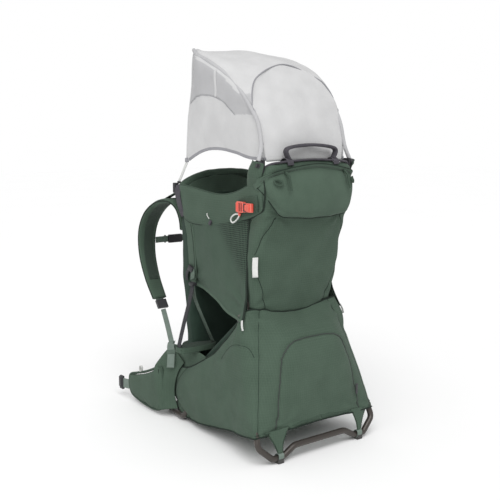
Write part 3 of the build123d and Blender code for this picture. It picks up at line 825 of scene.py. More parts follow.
def leg_tabs():
    """Tapered cloth tabs from the bag's rear corners down to the kick feet, with pale end bands."""
    for name, side in SIDES:
        piece = Piece(f"leg_tab_{name}", "pack_fabric")
        grid = [[(-172, -347, 82), (-140, -354, 84), (-106, -355, 86)],
                [(-152, -353, 50), (-138, -357, 50), (-123, -357, 50)],
                [(-143, -357, 27), (-135, -360, 26), (-127, -359, 27)]]
        tab = Patch(grid, 24, 18, inside=(-135, -300, 50))
        piece.add(shell(tab, 1.6), MATS["pack"])
        seam(piece, tab, [(-166, -348, 78), (-150, -354, 50), (-142, -357, 29)], 30, 0.8, (2.4,))
        seam(piece, tab, [(-112, -355, 78), (-125, -357, 50), (-128, -359, 29)], 30, 0.8, (-2.4,))
        band = closed_curve([(-134, -361, 22), (-134, -352, 24), (-134, -343, 14), (-134, -350, 3),
                             (-134, -360, 8)], 28)
        piece.add(strap(band, (1, 0, 0), 17, 1.6, 28, closed=True), MATS["light_web"])
        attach(piece.build(side), "kickstand")


BODY_ROWS = [
    [(-126, -220, 372), (-131, -226, 370), (-132, -236, 367), (-112, -246, 362), (-60, -253, 354),
     (0, -253, 349)],
    [(-132, -221, 440), (-139, -226, 440), (-142, -244, 440), (-126, -264, 440), (-66, -271, 438),
     (0, -272, 437)],
    [(-133, -222, 523), (-140, -227, 523), (-142, -252, 523), (-125, -275, 523), (-66, -284, 523),
     (0, -286, 523)],
    [(-131, -224, 590), (-135, -231, 590), (-141, -270, 590), (-127, -293, 590), (-66, -306, 590),
     (0, -309, 590)],
    [(-129, -226, 650), (-132, -238, 650), (-140, -286, 652), (-130, -307, 652), (-66, -315, 652),
     (0, -317, 652)],
    [(-130, -230, 692), (-137, -250, 700), (-143, -290, 702), (-129, -312, 705), (-64, -318, 708),
     (0, -320, 710)],
    [(-132, -234, 706), (-137, -256, 716), (-136, -290, 722), (-122, -307, 727), (-62, -311, 733),
     (0, -313, 737)],
    [(-126, -232, 706), (-124, -256, 715), (-118, -280, 723), (-106, -292, 729), (-56, -296, 735),
     (0, -297, 739)],
    [(-120, -229, 702), (-116, -240, 711), (-108, -248, 718), (-90, -252, 722), (-50, -254, 726),
     (0, -255, 728)],
]


def upper_bag():
    bag = Patch([whole(row) for row in BODY_ROWS], 130, 170, inside=(0, -240, 560))
    shaping = [flip(points, s) for _, s in SIDES for points in (
        [(-140, -262, 462), (-126, -267, 430), (-110, -262, 396), (-98, -250, 361)],
        [(-106, -316, 598), (-122, -300, 572), (-136, -280, 540), (-142, -256, 506)])]
    for line in shaping:
        bag.groove(line, 3.0, 9, 80)
    edges = [flip([(-137, -240, 592), (-140, -229, 570), (-141, -228, 480), (-132, -227, 376)], s)
             for _, s in SIDES]
    bag.wrinkle(140, 2.2, 21, (1, 1, 0.5))
    bag.wrinkle(50, 0.8, 22)
    for _, s in SIDES:
        bag.radiate((-104 * s, -322, 600), 85, 6, 2.2)
        bag.radiate((-130 * s, -236, 372), 80, 6, 2.0)
    piece = Piece("upper_bag", "pack_fabric")
    piece.add(shell(bag, 2.0), MATS["pack"])
    for line in shaping:
        seam(piece, bag, line, 70, 0.9)
    for line in edges:
        seam(piece, bag, line, 90, 1.9, (4.0,))
    waist = bag.p[0]
    piece.add(tube(waist[::2], 1.6, 8), MATS["seam"])
    inner = Patch([whole([(-126, -222, z), (-64, -224, z), (0, -224, z)]) for z in (362, 480, 600, 712)], 60,
                  60,
                  inside=(0, -300, 550))
    inner.wrinkle(80, 1.5, 23)
    piece.add(shell(inner, 2.0), MATS["lining"])
    # blank care label sewn in the side seam
    label = Patch([[(-144.5, -257, 500), (-138, -271, 502)], [(-146, -257, 476), (-139, -271, 477)],
                   [(-145, -257, 450), (-138, -271, 452)]], 12, 8, inside=(0, -250, 470))
    piece.add(shell(label, 0.8), MATS["white_web"])
    obj = piece.build()
    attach(obj, "carrier")
    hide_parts("storage_body")


POCKET_ROWS = [
    [(-106, -314, 607), (-94, -322, 602), (-48, -326, 598), (0, -328, 597)],
    [(-120, -316, 620), (-100, -335, 612), (-50, -341, 607), (0, -343, 606)],
    [(-141, -298, 656), (-116, -332, 650), (-56, -346, 645), (0, -350, 643)],
    [(-149, -282, 668), (-127, -321, 683), (-57, -338, 688), (0, -342, 690)],
    [(-148, -271, 673), (-130, -312, 699), (-56, -324, 716), (0, -328, 721)],
]
ZIP_LINE = whole([(-147, -268, 674), (-147, -288, 688), (-133, -311, 701), (-112, -318, 708),
                  (-56, -325, 718),
                  (0, -329, 723)])


def top_pocket():
    pocket = Patch([whole(row) for row in POCKET_ROWS], 60, 130, inside=(0, -250, 660))
    pocket.groove(whole([(-143, -290, 664), (-122, -318, 630), (-100, -334, 611), (-48, -341, 607),
                         (0, -343, 606)]),
                  2.2, 7)
    pocket.wrinkle(70, 1.4, 31)
    piece = Piece("pocket_shell", "pack_fabric")
    piece.add(shell(pocket, 2.0), MATS["pack_light"])
    rim = pocket.p[0]
    piece.add(tube(rim[::2], 1.7, 8), MATS["seam"])
    for s in (1, -1):
        side = flip([(-106, -314, 607), (-120, -316, 620), (-141, -298, 656), (-148, -280, 674)], s)
        seam(piece, pocket, side, 60, 1.3, (3.0 * s,))
    obj = piece.build()
    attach(obj, "carrier")
    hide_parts("top_pocket")

    chain = Piece("pocket_zip_chain", "zip_tape")
    path = curve(ZIP_LINE, 210)
    chain.add(strap(ZIP_LINE, (0, -0.55, 0.84), 17, 2.4, 120), MATS["pack_light"])
    for side in (-8.5, 8.5):
        chain.add(tube(path + np.array((0, -0.55, 0.84)) * side + (0, -1, 0.4), 1.1, 6), MATS["seam"])
    lift = path + np.array((0, -1.8, 0.9))
    side_v = np.tile((0, -0.55, 0.84), (len(path), 1))
    for k in range(0, len(path) - 1, 1):
        if k % 2 == 0:
            offset = 0.9 if (k // 2) % 2 else -0.9
            centre = lift[k] + side_v[k] * offset
            chain.add(block(centre, (1.7, 1.5, 3.6), 0.5, segments=1), MATS["zip"])
    for s in (1, -1):
        chain.add(block(flip([(-141, -290, 695)], s)[0], (7, 10, 7), 2.2, (0, 0, 25 * s)), MATS["black"])
        chain.add(strap(flip([(-147, -268, 676), (-146, -286, 686), (-136, -302, 698), (-126, -310, 704)],
                             s),
                        (0, -0.5, 0.8), 15, 4.5, 20, power=3), MATS["pack_light"])
        hoop = closed_curve(flip([(-128, -322, 692), (-121, -329, 694), (-114, -335, 689), (-115, -336, 683),
                                  (-122, -332, 681), (-128, -326, 685)], s), 30)
        chain.add(tube(hoop, 2.6, 8, True), MATS["pack_dark"])
    obj = chain.build()
    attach(obj, "carrier")
    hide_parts("pocket_zip")

    top = Piece("top_binding", "dark_webbing")
    edge = whole([(-141, -296, 694), (-140, -293, 710), (-136, -294, 722), (-126, -303, 730),
                  (-108, -311, 734),
                  (-60, -314, 738), (0, -316, 740)])
    top.add(tube(curve(edge, 160), 3.0, 10), MATS["grey_web"])
    obj = top.build()
    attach(obj, "carrier")
    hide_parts("top_piping")


RIM = [(-142, 88, 660), (-143, 66, 664), (-142, 30, 661), (-141, -20, 655), (-140, -75, 649),
       (-140, -125, 648),
       (-140, -180, 657), (-141, -235, 676), (-141, -280, 692), (-141, -298, 694)]
HEM = [(-140, 84, 616), (-142, 62, 580), (-143, 30, 564), (-142, -20, 561), (-140, -75, 563),
       (-139, -125, 570),
       (-138, -180, 581), (-138, -235, 594), (-138, -278, 610), (-138, -292, 620)]


def collar():
    for name, side in SIDES:
        piece = Piece(f"collar_{name}", "pack_fabric")
        pad = lens(RIM, HEM, 17, (-1, 0, 0), 110, 22, 3.2, lambda p: 1.3 * ripple(p, 75, 41))
        piece.add(pad, MATS["pack"])
        rim, hem = curve(RIM, 90), curve(HEM, 90)
        piece.add(tube(hem + (0, 0, 1), 2.4, 8), MATS["seam"])
        piece.add(tube(rim + (0, 0, 0.5), 2.2, 8), MATS["pack_dark"])
        end = curve([RIM[-1], (-142, -303, 660), HEM[-1]], 30)
        piece.add(tube(end, 2.0, 8), MATS["seam"])
        # grey reinforcement at the front corner and the seam of the red buckle's patch
        patch = strap([(-144, 80, 664), (-152, 76, 640), (-151, 66, 606), (-146, 58, 578)], (0, 1, 0.25), 24,
                      2.2, 24)
        piece.add(patch, MATS["grey_web"])
        grid = [[(-148, -202, 642), (-150, -240, 650), (-149, -280, 656)],
                [(-149, -200, 618), (-150.5, -240, 624), (-150, -284, 632)],
                [(-147, -202, 596), (-148, -240, 604), (-147, -280, 614)]]
        backing = Patch(grid, 14, 20, inside=(0, -240, 620))
        piece.add(shell(backing, 2.0), MATS["pack_dark"])
        obj = piece.build(side)
        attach(obj, "carrier")
        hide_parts(f"cockpit_side_{name}")

        toggle = Piece(f"cord_lock_{name}", "black_plastic")
        toggle.add(block((-150, -80, 572), (7, 8, 13), 2.4, (28, 0, 0)), MATS["grey_web"])
        toggle.add(tube(curve([(-149, -74, 582), (-152, -70, 590), (-150, -66, 596)], 14), 1.2, 6),
                   MATS["white_web"])
        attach(toggle.build(side), "carrier")

        loop = Piece(f"cord_loop_{name}", "white_webbing")
        path = closed_curve([(-153, -212, 605), (-154, -198, 604), (-154, -184, 597), (-154, -179, 588),
                             (-154, -186, 582), (-154, -199, 587), (-153, -210, 597)], 44)
        loop.add(tube(path, 2.1, 10, True), MATS["white_web"])
        loop.add(block((-153, -214, 605), (4, 9, 8), 1.4, (30, 0, 0)), MATS["red"])
        obj = loop.build(side)
        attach(obj, "carrier")
        if name == "left":
            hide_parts("pull_loops")


def front_roll():
    piece = Piece("front_roll", "pack_fabric")
    path = curve([(-143, 68, 630), (-134, 84, 650), (-108, 91, 668), (-60, 93, 684), (0, 94, 690),
                  (60, 93, 690),
                  (108, 91, 684), (134, 84, 660), (143, 68, 632)], 110)
    sides, ups = frames(path, hint=(0, 1, 0))
    fold = ripple(path, 42, 51)

    def section(t):
        swell = 1 + 0.05 * fold[int(round(t * (len(path) - 1)))]
        thin = 0.8 + 0.2 * math.sin(math.pi * t)
        return [(a * swell * thin, b * swell * thin) for a, b in superellipse(29, 27, 2.2, 26)]
    piece.add(sweep(path, sides, ups, section), MATS["pack"])
    under = path + np.array((0, -13.0, -2.0))
    piece.add(tube(under[6:-6], 1.3, 6), MATS["seam"])
    obj = piece.build()
    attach(obj, "carrier")
    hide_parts("front_rim_pad")


def side_panels():
    for name, side in SIDES:
        grid = [[(-141, 44, 584), (-143, -12, 576), (-144, -100, 580), (-142, -180, 592), (-138, -232, 604)],
                [(-138, 40, 500), (-143, -20, 500), (-146, -100, 500), (-144, -180, 500), (-139, -230, 500)],
                [(-136, 34, 440), (-140, -22, 440), (-145, -100, 436), (-145, -176, 430), (-140, -229, 425)],
                [(-136, 30, 412), (-140, -26, 408), (-146, -98, 400), (-149, -176, 390), (-146, -233, 384)],
                [(-136, 26, 396), (-139, -30, 388), (-146, -95, 374), (-157, -170, 350), (-166, -244, 338)]]
        mesh = Patch(grid, 80, 90, inside=(0, -80, 480))
        mesh.wrinkle(105, 2.6, 61, (1, 1, 0.3))
        mesh.wrinkle(36, 0.7, 62, (1, 1, 0.4))
        mesh.radiate((-150, -236, 372), 110, 7, 2.4)
        mesh.radiate((-142, 34, 410), 90, 6, 2.0)
        piece = Piece(f"side_panel_{name}", "mesh_fabric")
        piece.add(shell(mesh, 1.4), MATS["mesh"])
        obj = piece.build(side)
        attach(obj, "carrier")
        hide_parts(f"side_mesh_{name}")

        trim = Piece(f"side_trim_{name}", "pack_fabric")
        low = mesh.p[-1]
        trim.add(strap(low[::4], (0.2, 0.3, 1), 8, 2.6, 50), MATS["pack_light"])
        trim.add(strap(curve(mesh.p[:, -1][::6], 20), (0, 1, 0), 7, 2.2, 40), MATS["seam"])
        corner = [(-167, -243, 342), (-171, -248, 330), (-171, -252, 318)]
        trim.add(strap(corner, (0, 1, 0), 7, 1.4, 12), MATS["white_web"])
        # solid cloth strip over the frame tube at the front of the panel
        strip = [[(-133, 84, 604), (-143, 62, 600), (-146, 30, 578)],
                 [(-126, 76, 540), (-141, 52, 540), (-145, 10, 545)],
                 [(-126, 66, 480), (-140, 44, 480), (-143, 4, 480)],
                 [(-127, 62, 430), (-139, 40, 430), (-142, 2, 430)],
                 [(-127, 56, 400), (-138, 36, 398), (-141, 6, 396)]]
        cover = Patch(strip, 60, 30, inside=(0, 20, 480))
        cover.wrinkle(60, 1.0, 63)
        trim.add(shell(cover, 2.0), MATS["pack"])
        seam(trim, cover, [(-144, 22, 560), (-143, 14, 520), (-142, 10, 470), (-141, 10, 410)], 60, 1.0)
        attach(trim.build(side), "carrier")


POLE = [(-151, -288, 736), (-137, -281, 775), (-135.5, -267, 828), (-139, -244, 864), (-145, -208, 908),
        (-150, -152, 952), (-154, -84, 986), (-146, -20, 1008), (-110, 51, 1027)]
CANOPY = [
    [(-128, -286, 742), (-133, -278, 786), (-135, -256, 850), (-138, -246, 872), (-106, -221, 940),
     (0, -199, 978)],
    [(-132, -228, 745), (-138, -226, 800), (-143, -220, 856), (-147, -208, 914), (-110, -184, 962),
     (0, -166, 992)],
    [(-133, -165, 757), (-144, -158, 822), (-151, -152, 888), (-154, -146, 956), (-110, -124, 992),
     (0, -108, 1010)],
    [(-133, -88, 765), (-148, -86, 840), (-156, -84, 915), (-158, -80, 988), (-100, -68, 1012),
     (0, -62, 1019)],
    [(-132, -20, 758), (-144, -20, 840), (-149, -20, 926), (-148, -18, 1008), (-88, -12, 1020),
     (0, -8, 1025)],
    [(-132, 60, 728), (-126, 58, 830), (-116, 56, 932), (-110, 53, 1026), (-66, 53, 1029), (0, 53, 1030)],
]
GORE = [
    [(-124, -286, 736), (-68, -294, 738), (0, -297, 739)],
    [(-136, -272, 812), (-76, -277, 832), (0, -279, 842)],
    [(-139, -253, 860), (-80, -252, 892), (0, -251, 906)],
    [(-132, -236, 900), (-66, -222, 938), (0, -217, 951)],
    [(-108, -220, 940), (-54, -205, 968), (0, -200, 978)],
]


def sunshade():
    canopy = Patch([whole(row) for row in CANOPY], 110, 150, inside=(0, -60, 860))
    for s in (1, -1):
        canopy.groove(flip([(-138, -246, 872), (-147, -208, 914), (-154, -146, 960), (-158, -80, 992),
                            (-148, -18, 1013),
                            (-110, 53, 1032)], s), 1.6, 9)
    canopy.wrinkle(170, 3.0, 71, (1, 1, 0.5))
    canopy.wrinkle(60, 0.7, 72)
    piece = Piece("shade_cover", "shade_fabric")
    piece.add(shell(canopy, 1.2), MATS["shade"])

    def painted_shade_zone(c):
        """Painted shade: the side curtain between its arched seam and the pole, a dotted mesh window drawn
        in a darker grey as if shaded inside.
        """
        x, y, z = c.T
        arched_seam = np.interp(y, (-186, -140, -84, -20, 52), (850, 884, 900, 900, 884))
        pole_line = np.interp(y, (-208, -152, -84, -20, 51), (900, 944, 978, 1000, 1019))
        return (np.abs(x) > 104) & (z > arched_seam) & (z < pole_line)
    # the picked faces get the darker grey: painted shade on the curtain's mesh window
    piece.recolour(painted_shade_zone, MATS["canopy_painted_shade"])
    obj = piece.build()
    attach(obj, "sunshade")
    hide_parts("shade_canopy")

    trim = Piece("shade_trim", "shade_fabric")
    for s in (1, -1):
        # pole sleeves in the darker grey: painted shade that tones down their lit tops
        trim.add(tube(curve(flip(POLE, s), 110), 5.4, 12), MATS["canopy_painted_shade"])
        hem = canopy.p[:, 0 if s == 1 else -1]
        trim.add(strap(hem[::5], (0, 0, 1), 8, 2.2, 70), MATS["shade_trim"])
        edge = canopy.p[-1, :60] if s == 1 else canopy.p[-1, -60:]
        front = edge[::2]
        trim.add(tube(front, 1.8, 8), MATS["shade"])
        arched = flip([(-146, -186, 850), (-152, -140, 884), (-154, -84, 900), (-146, -20, 900),
                       (-120, 52, 884)], s)
        seam(trim, canopy, arched, 70, 0.8, (2.6,), mat="shade_trim")
        post = flip([(-153, -112, 896), (-156, -118, 926), (-156, -122, 962)], s)
        line, _ = canopy.drape(post, 24, 0.5)
        trim.add(strap(line, (0, 1, 0), 9, 1.2, 24), MATS["shade"])
        trim.add(block(flip([(-132, 58, 732)], s)[0], (5, 14, 12), 1.6), MATS["shade_trim"])
    crown = canopy.p[-1]
    middle = crown[len(crown) // 3: 2 * len(crown) // 3]
    trim.add(tube(middle, 2.0, 8), MATS["shade"])
    rear = canopy.p[0]
    trim.add(tube(rear[12:-12:2], 1.8, 8), MATS["shade_trim"])
    obj_trim = trim.build()
    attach(obj_trim, "sunshade")

    gore = Patch([whole(row) for row in GORE], 60, 80, inside=(0, -60, 860))
    gore.wrinkle(120, 2.5, 73)
    piece = Piece("shade_gore", "shade_fabric")
    piece.add(shell(gore, 1.2), MATS["shade"])
    obj = piece.build()
    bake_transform(obj)
    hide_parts("shade_rear_panel")

    ties = Piece("shade_ties", "white_webbing")
    for s in (1, -1):
        ties.add(strap(flip([(-132, 58, 726), (-133, 76, 700), (-134, 96, 672)], s), (0, 1, 1), 10, 1.6, 20),
                 MATS["white_web"])
        ties.add(strap(flip([(-135, 98, 668), (-137, 99, 640), (-138, 94, 606)], s), (0, 1, 0), 7, 1.4, 20),
                 MATS["white_web"])
        ties.add(block(flip([(-134, 96, 670)], s)[0], (8, 9, 6), 1.5), MATS["black"])
    obj = ties.build()
    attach(obj, "sunshade")
    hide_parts("shade_straps")


def handle():
    piece = Piece("grab_handle", "dark_webbing")
    grip = whole([(-72, -307, 742), (-79, -307, 753), (-81, -307, 762), (-72, -307, 769), (-40, -307, 774),
                  (0, -307, 776)])
    piece.add(strap(grip, (0, 1, 0), 18, 8, 90, 3.0, lambda t: 0.9 + 0.5 * math.sin(math.pi * t) ** 3),
              MATS["grey_web"])
    obj = piece.build()
    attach(obj, "handle")
    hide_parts("haul_handle")
    base = Piece("handle_anchors", "dark_webbing")
    for s in (1, -1):
        base.add(strap(flip([(-75, -319, 727), (-75, -317, 736), (-75, -309, 743), (-75, -298, 743),
                             (-75, -290, 737)], s), (1, 0, 0), 19, 2.4, 30), MATS["grey_web"])
    obj = base.build()
    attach(obj, "carrier")
    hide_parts("handle_loops")
    flaps = Piece("socket_flaps", "pack_fabric")
    for s in (1, -1):
        rows = [[(-139, -230, 660), (-145, -256, 664), (-141, -284, 670)],
                [(-145, -236, 700), (-159, -264, 704), (-145, -294, 700)],
                [(-150, -262, 741), (-165, -288, 738), (-148, -306, 731)]]
        cup = Patch([flip(row, s) for row in rows], 30, 30, inside=(0, -270, 700))
        cup.wrinkle(34, 2.4, 25, (1, 1, 0.5))
        flaps.add(shell(cup, 1.6), MATS["pack"])
    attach(flaps.build(), "carrier")


def harness():
    yoke = Piece("yoke_pad", "pack_fabric")
    yoke.add(lens([(-66, 92, 590), (-30, 93, 600), (0, 93, 602), (30, 93, 600), (66, 92, 590)],
                  [(-64, 92, 524), (-30, 93, 520), (0, 93, 519), (30, 93, 520), (64, 92, 524)], 9, (0, 1, 0),
                  50,
                  16, 3, lambda p: 1.1 * np.cos(p[..., 0] / 66 * math.pi * 3)), MATS["airmesh"])
    obj = yoke.build()
    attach(obj, "harness")
    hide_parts("harness_yoke")
    arc = [(-96, 101, 536), (-98, 104, 566), (-100, 122, 596), (-100, 165, 611), (-100, 232, 604),
           (-101, 296, 568),
           (-101, 336, 512), (-101, 340, 440), (-101, 312, 368), (-101, 270, 308)]

    def waist(t):
        return 1.06 - 0.34 * max(0.0, t - 0.45) / 0.55
    for name, side in SIDES:
        piece = Piece(f"shoulder_pad_{name}", "pack_fabric")
        piece.add(strap(arc, (1, 0.06, 0), 62, 15, 90, 2.8, waist), MATS["pack"])
        outer = curve(arc, 90)
        t = np.gradient(outer, axis=0)
        t /= np.linalg.norm(t, axis=1)[:, None]
        out = np.cross(t, (1.0, 0.0, 0.0))
        for edge in (-1, 1):
            offsets = np.array([[edge * 30.5 * waist(k / 89), 0, 0] for k in range(90)])
            piece.add(tube(outer + offsets, 2.2, 8), MATS["seam"])
        piece.add(strap(outer[34:86] - out[34:86] * 8.2, (1, 0, 0), 20, 1.6, 50), MATS["green_web"])
        inner = outer[8:80] + out[8:80] * 6.2
        piece.add(strap(inner, (1, 0, 0), 46, 4, 60, 3, lambda q: 1.0 - 0.28 * q), MATS["airmesh"])
        piece.add(strap([(-101, 280, 324), (-102, 263, 298), (-102, 256, 287)], (1, 0, 0), 26, 3, 16),
                  MATS["green_web"])
        obj = piece.build(side)
        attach(obj, "harness")
        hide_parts(f"shoulder_strap_{name}")

    lines = (("lower_webbing", "harness_webbing", [(-102, 247, 277), (-118, 200, 246), (-145, 131, 206)], 15,
              "light_web"),
             ("lifter_webbing", "load_lifters", [(-112, 108, 648), (-106, 160, 634), (-102, 214, 616)], 24,
              "green_web"))
    for name, node, points, width, mat in lines:
        piece = Piece(name, "light_webbing")
        for s in (1, -1):
            piece.add(strap(flip(points, s), (0.9 * s, -0.4, 0.25), width, 2.0, 34), MATS[mat])
        obj = piece.build()
        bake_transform(obj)
        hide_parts(node)

    tabs = Piece("webbing_tabs", "light_webbing")
    for s in (1, -1):
        across = (0.8 * s, -0.6, 0.15)
        tabs.add(strap(flip([(-145, 131, 206), (-162, 108, 200), (-174, 86, 190), (-184, 72, 170),
                             (-189, 66, 152)],
                            s), across, 21, 2.6, 30), MATS["light_web"])
        tabs.add(strap(flip([(-173, 88, 196), (-177, 82, 186)], s), across, 25, 5.0, 8), MATS["green_web"])
    obj = tabs.build()
    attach(obj, "carrier")
    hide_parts("strap_tabs")

    band = Piece("chest_band", "dark_webbing")
    band.add(strap([(-70, 340, 477), (-40, 342, 477), (0, 343, 477), (40, 342, 477), (70, 340, 477)],
                   (0, 0, 1), 19,
                   1.8, 40), MATS["green_web"])
    for s in (1, -1):
        band.add(block((s * 34, 344, 477), (5, 5, 24), 1.4), MATS["black"])
    obj = band.build()
    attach(obj, "sternum")
    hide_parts("sternum_strap")


def back_and_lumbar():
    rows = [(606, 82), (560, 78), (500, 72), (420, 66), (340, 56), (280, 42), (240, 36)]
    pad = Patch([whole([(-112, y - 4, z), (-60, y, z), (0, y - 5, z)]) for z, y in rows], 90, 90,
                inside=(0, 0, 420))
    channels = 2.2 * np.cos(pad.p[..., 0] / 116 * math.pi * 4)
    pad.push(channels)
    piece = Piece("back_mesh", "mesh_fabric")
    piece.add(shell(pad, 9.0), MATS["airmesh"])
    for s in (1, -1):
        edge = pad.p[:, 0 if s == 1 else -1]
        piece.add(tube(edge[::3], 4.0, 8), MATS["seam"])
    for row in (0, -1):
        piece.add(tube(pad.p[row][::3], 4.0, 8), MATS["seam"])
    obj = piece.build()
    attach(obj, "carrier")
    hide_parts("back_panel")

    outline = [(-130, 120), (-134, 160), (-128, 206), (-70, 218), (0, 219), (70, 218), (128, 206),
               (134, 160),
               (130, 120), (70, 108), (0, 105), (-70, 108)]
    lumbar = Piece("lumbar_cushion", "pack_fabric").add(prism(outline, 62, 110, 1), MATS["airmesh"]).build()
    cushion(lumbar, 0.0055, 0.009)
    press(lumbar, [[(x, 120, 108), (x * 0.96, 122, 160), (x, 120, 216)] for x in (-88, -44, 0, 44, 88)], 5,
          7)
    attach(lumbar, "carrier")
    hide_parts("lumbar_pad")

    cover = Piece("base_wrap", "pack_fabric")
    wrap = Patch([whole([(-146, 100, z), (-128, 112, z), (-70, 114, z), (0, 114, z)]) for z in (28, 62, 98,
                                                                                                124)],
                 30, 90, inside=(0, 60, 70))
    wrap.wrinkle(70, 1.2, 83)
    cover.add(shell(wrap, 2.0), MATS["pack_dark"])
    cover.add(tube(wrap.p[0][::3], 2.0, 8), MATS["seam"])
    obj = cover.build()
    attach(obj, "carrier")
    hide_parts("base_cover")

    roots = Piece("hip_wings", "pack_fabric")
    for s in (1, -1):
        roots.add(lens(flip([(-134, 116, 180), (-158, 119, 166), (-180, 118, 150), (-192, 108, 138)], s),
                       flip([(-134, 113, 54), (-158, 116, 50), (-180, 114, 50), (-192, 104, 48)], s), 14,
                       (0, 1, 0), 34, 14, 3, lambda p: 0.8 * ripple(p, 40, 85)), MATS["pack"])
        # cloth cheek that closes the bag's front corner up to the hip fin
        cheek = Patch(flip([[(-140, 120, 212), (-152, 112, 204), (-158, 84, 190), (-160, 40, 168)],
                            [(-176, 136, 168), (-180, 112, 158), (-178, 84, 150), (-170, 56, 140)],
                            [(-206, 130, 138), (-202, 108, 128), (-188, 88, 112), (-171, 72, 100)],
                            [(-210, 128, 84), (-206, 106, 80), (-191, 90, 74), (-170, 76, 68)],
                            [(-203, 126, 18), (-200, 106, 20), (-188, 88, 24), (-167, 66, 28)]],
                           s).reshape(5, 4, 3),
                      50, 34, inside=(0, 60, 100))
        cheek.wrinkle(50, 1.0, 86)
        roots.add(shell(cheek, 2.0), MATS["pack"])
    obj = roots.build()
    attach(obj, "carrier")
    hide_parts("hip_roots")


HIP_OUTLINE = [(100, 34), (120, 16), (150, 9), (190, 9), (236, 13), (278, 22), (294, 40), (296, 64),
               (288, 82),
               (250, 95), (205, 109), (160, 126), (116, 145), (101, 138), (98, 90)]


def hip_fins():
    for name, side in SIDES:
        pad = Piece(f"hip_fin_{name}", "pack_fabric")
        pad.add(prism(HIP_OUTLINE, -200, -190, 0), MATS["pack"])
        obj = pad.build(side)
        cushion(obj, 0.0045, 0.006, 3.0)
        press(obj, [flip([(-203, 116, 138), (-206, 118, 90), (-203, 118, 24)], side)], 2.0, 4)
        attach(obj, f"hip_{name}")
        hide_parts(f"hip_pad_{name}")

        belt = Piece(f"hip_trim_{name}", "dark_webbing")
        ring = closed_curve([(-195, a, b) for a, b in HIP_OUTLINE], 120)
        out = ring - ring.mean(0)
        out[:, 0] = 0
        out /= np.linalg.norm(out, axis=1)[:, None]
        belt.add(tube(ring - out * 1.0, 3.8, 8, True), MATS["pack_dark"])
        belt.add(tube(curve([(-202, 110, 140), (-205, 110, 90), (-202, 112, 26)], 30), 0.9, 6), MATS["seam"])
        belt.add(strap([(-196, 284, 50), (-197, 310, 46), (-197, 336, 43)], (0, 0, 1), 30, 2.2, 20),
                 MATS["light_web"])
        belt.add(block((-197, 342, 43), (9, 20, 42), 3), MATS["black"])
        belt.add(block((-201, 342, 43), (5, 12, 30), 2), MATS["black"])
        belt.add(block((-197, 354, 43), (6, 9, 32), 2), MATS["black"])
        belt.add(strap(closed_curve([(-198, 216, 108), (-198, 214, 121), (-198, 222, 123), (-198, 226, 108)],
                                    20),
                       (1, 0, 0), 7, 1.2, 20, closed=True), MATS["white_web"])
        obj = belt.build(side)
        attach(obj, f"hip_{name}")
        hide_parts(f"hip_belt_{name}")


def stirrups():
    for name, side in SIDES:
        piece = Piece(f"stirrup_foot_{name}", "dark_webbing")
        deck = lens([(-205, 12, 222), (-170, 16, 225), (-147, 17, 226), (-120, 16, 225), (-89, 12, 222)],
                    [(-205, -16, 222), (-170, -20, 225), (-147, -21, 226), (-120, -20, 225),
                     (-89, -16, 222)], 12,
                    (0, 0, 1), 50, 12, 3)
        piece.add(deck, MATS["airmesh"])
        piece.add(strap(closed_curve([(-207, 0, 221), (-196, 16, 220), (-147, 20, 220), (-98, 16, 220),
                                      (-87, 0, 221), (-98, -19, 220), (-147, -24, 220), (-196, -19, 220)],
                                     80),
                        (0, 0, 1), 15, 2.4, 80, closed=True), MATS["pack"])
        piece.add(strap([(-155, -2, 404), (-164, -2, 362), (-186, -2, 290), (-204, -2, 226)], (0, 1, 0), 17,
                        2.2,
                        40), MATS["dark_web"])
        piece.add(strap([(-155, -2, 404), (-150, -2, 360), (-120, -2, 290), (-90, -2, 226)], (0, 1, 0), 17,
                        2.2,
                        40), MATS["green_web"])
        piece.add(block((-156, -2, 398), (16, 20, 9), 2.5), MATS["black"])
        obj = piece.build(side)
        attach(obj, f"stirrup_{name}")
        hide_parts(f"stirrup_{name}")


def hangers():
    """Straps and a ladder lock that hold each stirrup to the frame strip."""
    for name, side in SIDES:
        piece = Piece(f"stirrup_hanger_{name}", "dark_webbing")
        piece.add(strap([(-143, 18, 438), (-148, 10, 424), (-154, 2, 410)], (0, 1, 0), 17, 2.2, 16),
                  MATS["green_web"])
        piece.add(block((-146, 22, 436), (8, 22, 16), 2.5, (20, 0, 0)), MATS["black"])
        piece.add(strap([(-147, 30, 436), (-149, 38, 420), (-148, 40, 402)], (0, 1, 0), 12, 1.6, 14),
                  MATS["dark_web"])
        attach(piece.build(side), "carrier")


